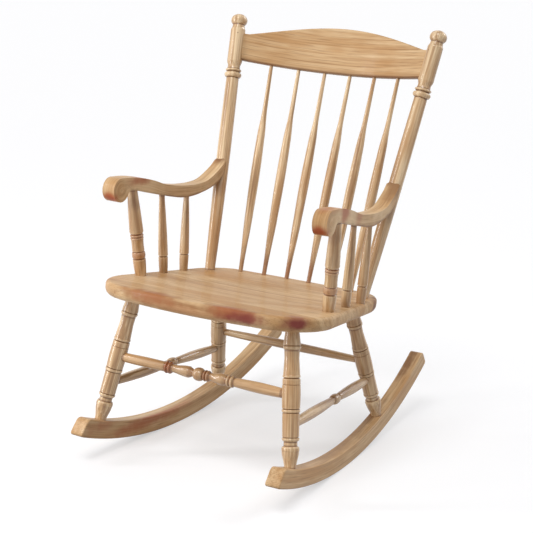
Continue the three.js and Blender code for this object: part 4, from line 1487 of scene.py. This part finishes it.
class CHAIR_OT_legs(bpy.types.Operator):
    """Turn the four legs"""

    bl_idname = "rocking_chair.legs"
    bl_label = "Legs"

    def execute(self, context):
        for (row, hand), turning in legs().items():
            build_leg(f"leg_{row}_{hand}", turning)
        return {"FINISHED"}


class CHAIR_OT_stretchers(bpy.types.Operator):
    """Turn the stretchers between the legs"""

    bl_idname = "rocking_chair.stretchers"
    bl_label = "Stretchers"

    def execute(self, context):
        base = chair().base
        found = legs()
        cross = (("front", FRONT_BAR_ROWS, base.front_bar_radius, base.front_bar_share),
                 ("rear", REAR_BAR_ROWS, base.rear_bar_radius, base.rear_bar_share))
        for row, rows, radius, part in cross:
            turning = bar(rows, radius, found[row, "left"], part, found[row, "right"], part)
            turned_piece("stretcher_" + row, turning, STRETCHER_TENON, STRETCHER_TENON)
        for hand, _ in SIDES:
            turning = bar(SIDE_BAR_ROWS, base.side_bar_radius, found["front", hand], base.side_front_share,
                          found["rear", hand], base.side_rear_share)
            turned_piece("stretcher_side_" + hand, turning, STRETCHER_TENON, STRETCHER_TENON)
        return {"FINISHED"}


class CHAIR_OT_back_posts(bpy.types.Operator):
    """Turn the two back posts"""

    bl_idname = "rocking_chair.back_posts"
    bl_label = "Back posts"

    def execute(self, context):
        for hand, side in SIDES:
            turned_piece("back_post_" + hand, post_turning(side))
        return {"FINISHED"}


class CHAIR_OT_crest_rail(bpy.types.Operator):
    """Make the bent crest rail and its pins"""

    bl_idname = "rocking_chair.crest_rail"
    bl_label = "Crest rail"

    def execute(self, context):
        build_crest()
        for hand, side in SIDES:
            build_pin(hand, side)
        return {"FINISHED"}


class CHAIR_OT_back_spindles(bpy.types.Operator):
    """Turn the six back spindles"""

    bl_idname = "rocking_chair.back_spindles"
    bl_label = "Back spindles"

    def execute(self, context):
        for index in range(BACK_SPINDLES):
            turned_piece(f"back_spindle_{index + 1}", back_spindle(index))
        return {"FINISHED"}


class CHAIR_OT_arms(bpy.types.Operator):
    """Make the two scrolled arms"""

    bl_idname = "rocking_chair.arms"
    bl_label = "Arms"

    def execute(self, context):
        for hand, side in SIDES:
            build_arm(hand, side)
        return {"FINISHED"}


class CHAIR_OT_arm_supports(bpy.types.Operator):
    """Turn the posts and spindles under the arms"""

    bl_idname = "rocking_chair.arm_supports"
    bl_label = "Arm supports"

    def execute(self, context):
        arms = chair().arms
        supports = (
            ("arm_post", ARM_POST_ROWS, arms.post_radius, arms.post_foot_x, 0, arms.post_top_y,
             arms.post_top_out),
            ("arm_spindle_front", ARM_SPINDLE_ROWS, arms.spindle_radius, arms.front_foot_x,
             arms.front_foot_y, arms.front_top_y),
            ("arm_spindle_rear", ARM_SPINDLE_ROWS, arms.spindle_radius, arms.rear_foot_x,
             arms.rear_foot_y, arms.rear_top_y),
        )
        for hand, side in SIDES:
            for name, *sizes in supports:
                turned_piece(f"{name}_{hand}", arm_support(side, *sizes))
        return {"FINISHED"}


class CHAIR_OT_stage(bpy.types.Operator):
    """Set up the floor, the light and the camera"""

    bl_idname = "rocking_chair.stage"
    bl_label = "Stage"

    def execute(self, context):
        build_world()
        build_floor()
        build_lights()
        build_camera()
        context.scene.view_settings.view_transform = "Standard"
        return {"FINISHED"}


class ChairSettings(bpy.types.PropertyGroup):
    """Everything that can be set on the chair."""

    seat: bpy.props.PointerProperty(name="Seat", description="Sizes of the seat", type=SeatSizes)
    base: bpy.props.PointerProperty(name="Base", description="Sizes of the base", type=BaseSizes)
    back: bpy.props.PointerProperty(name="Back", description="Sizes of the back", type=BackSizes)
    arms: bpy.props.PointerProperty(name="Arms", description="Sizes of the arms", type=ArmSizes)
    wood: bpy.props.PointerProperty(name="Wood", description="Colours of the wood", type=WoodLook)
    stage: bpy.props.PointerProperty(name="Stage", description="Floor, light, camera", type=StageLook)


MAKERS = (
    CHAIR_OT_seat, CHAIR_OT_rockers, CHAIR_OT_legs, CHAIR_OT_stretchers, CHAIR_OT_back_posts,
    CHAIR_OT_crest_rail, CHAIR_OT_back_spindles, CHAIR_OT_arms, CHAIR_OT_arm_supports, CHAIR_OT_stage,
)


class CHAIR_PT_panel(bpy.types.Panel):
    """Lists the steps that make the chair"""

    bl_idname = "CHAIR_PT_panel"
    bl_label = "Rocking chair"
    bl_space_type = "VIEW_3D"
    bl_region_type = "UI"
    bl_category = "Rocking chair"

    def draw(self, context):
        for maker in MAKERS:
            self.layout.operator(maker.bl_idname)


CLASSES = (SeatSizes, BaseSizes, BackSizes, ArmSizes, WoodLook, StageLook, ChairSettings, *MAKERS,
           CHAIR_PT_panel)


def register():
    for cls in CLASSES:
        bpy.utils.register_class(cls)
    bpy.types.Scene.rocking_chair = bpy.props.PointerProperty(type=ChairSettings)


def unregister():
    del bpy.types.Scene.rocking_chair
    for cls in reversed(CLASSES):
        bpy.utils.unregister_class(cls)


def main():
    """Builds the chair on the frame."""
    register()
    for maker in MAKERS:
        getattr(bpy.ops.rocking_chair, maker.bl_idname.split(".")[1])()


if __name__ == "__main__":
    main()
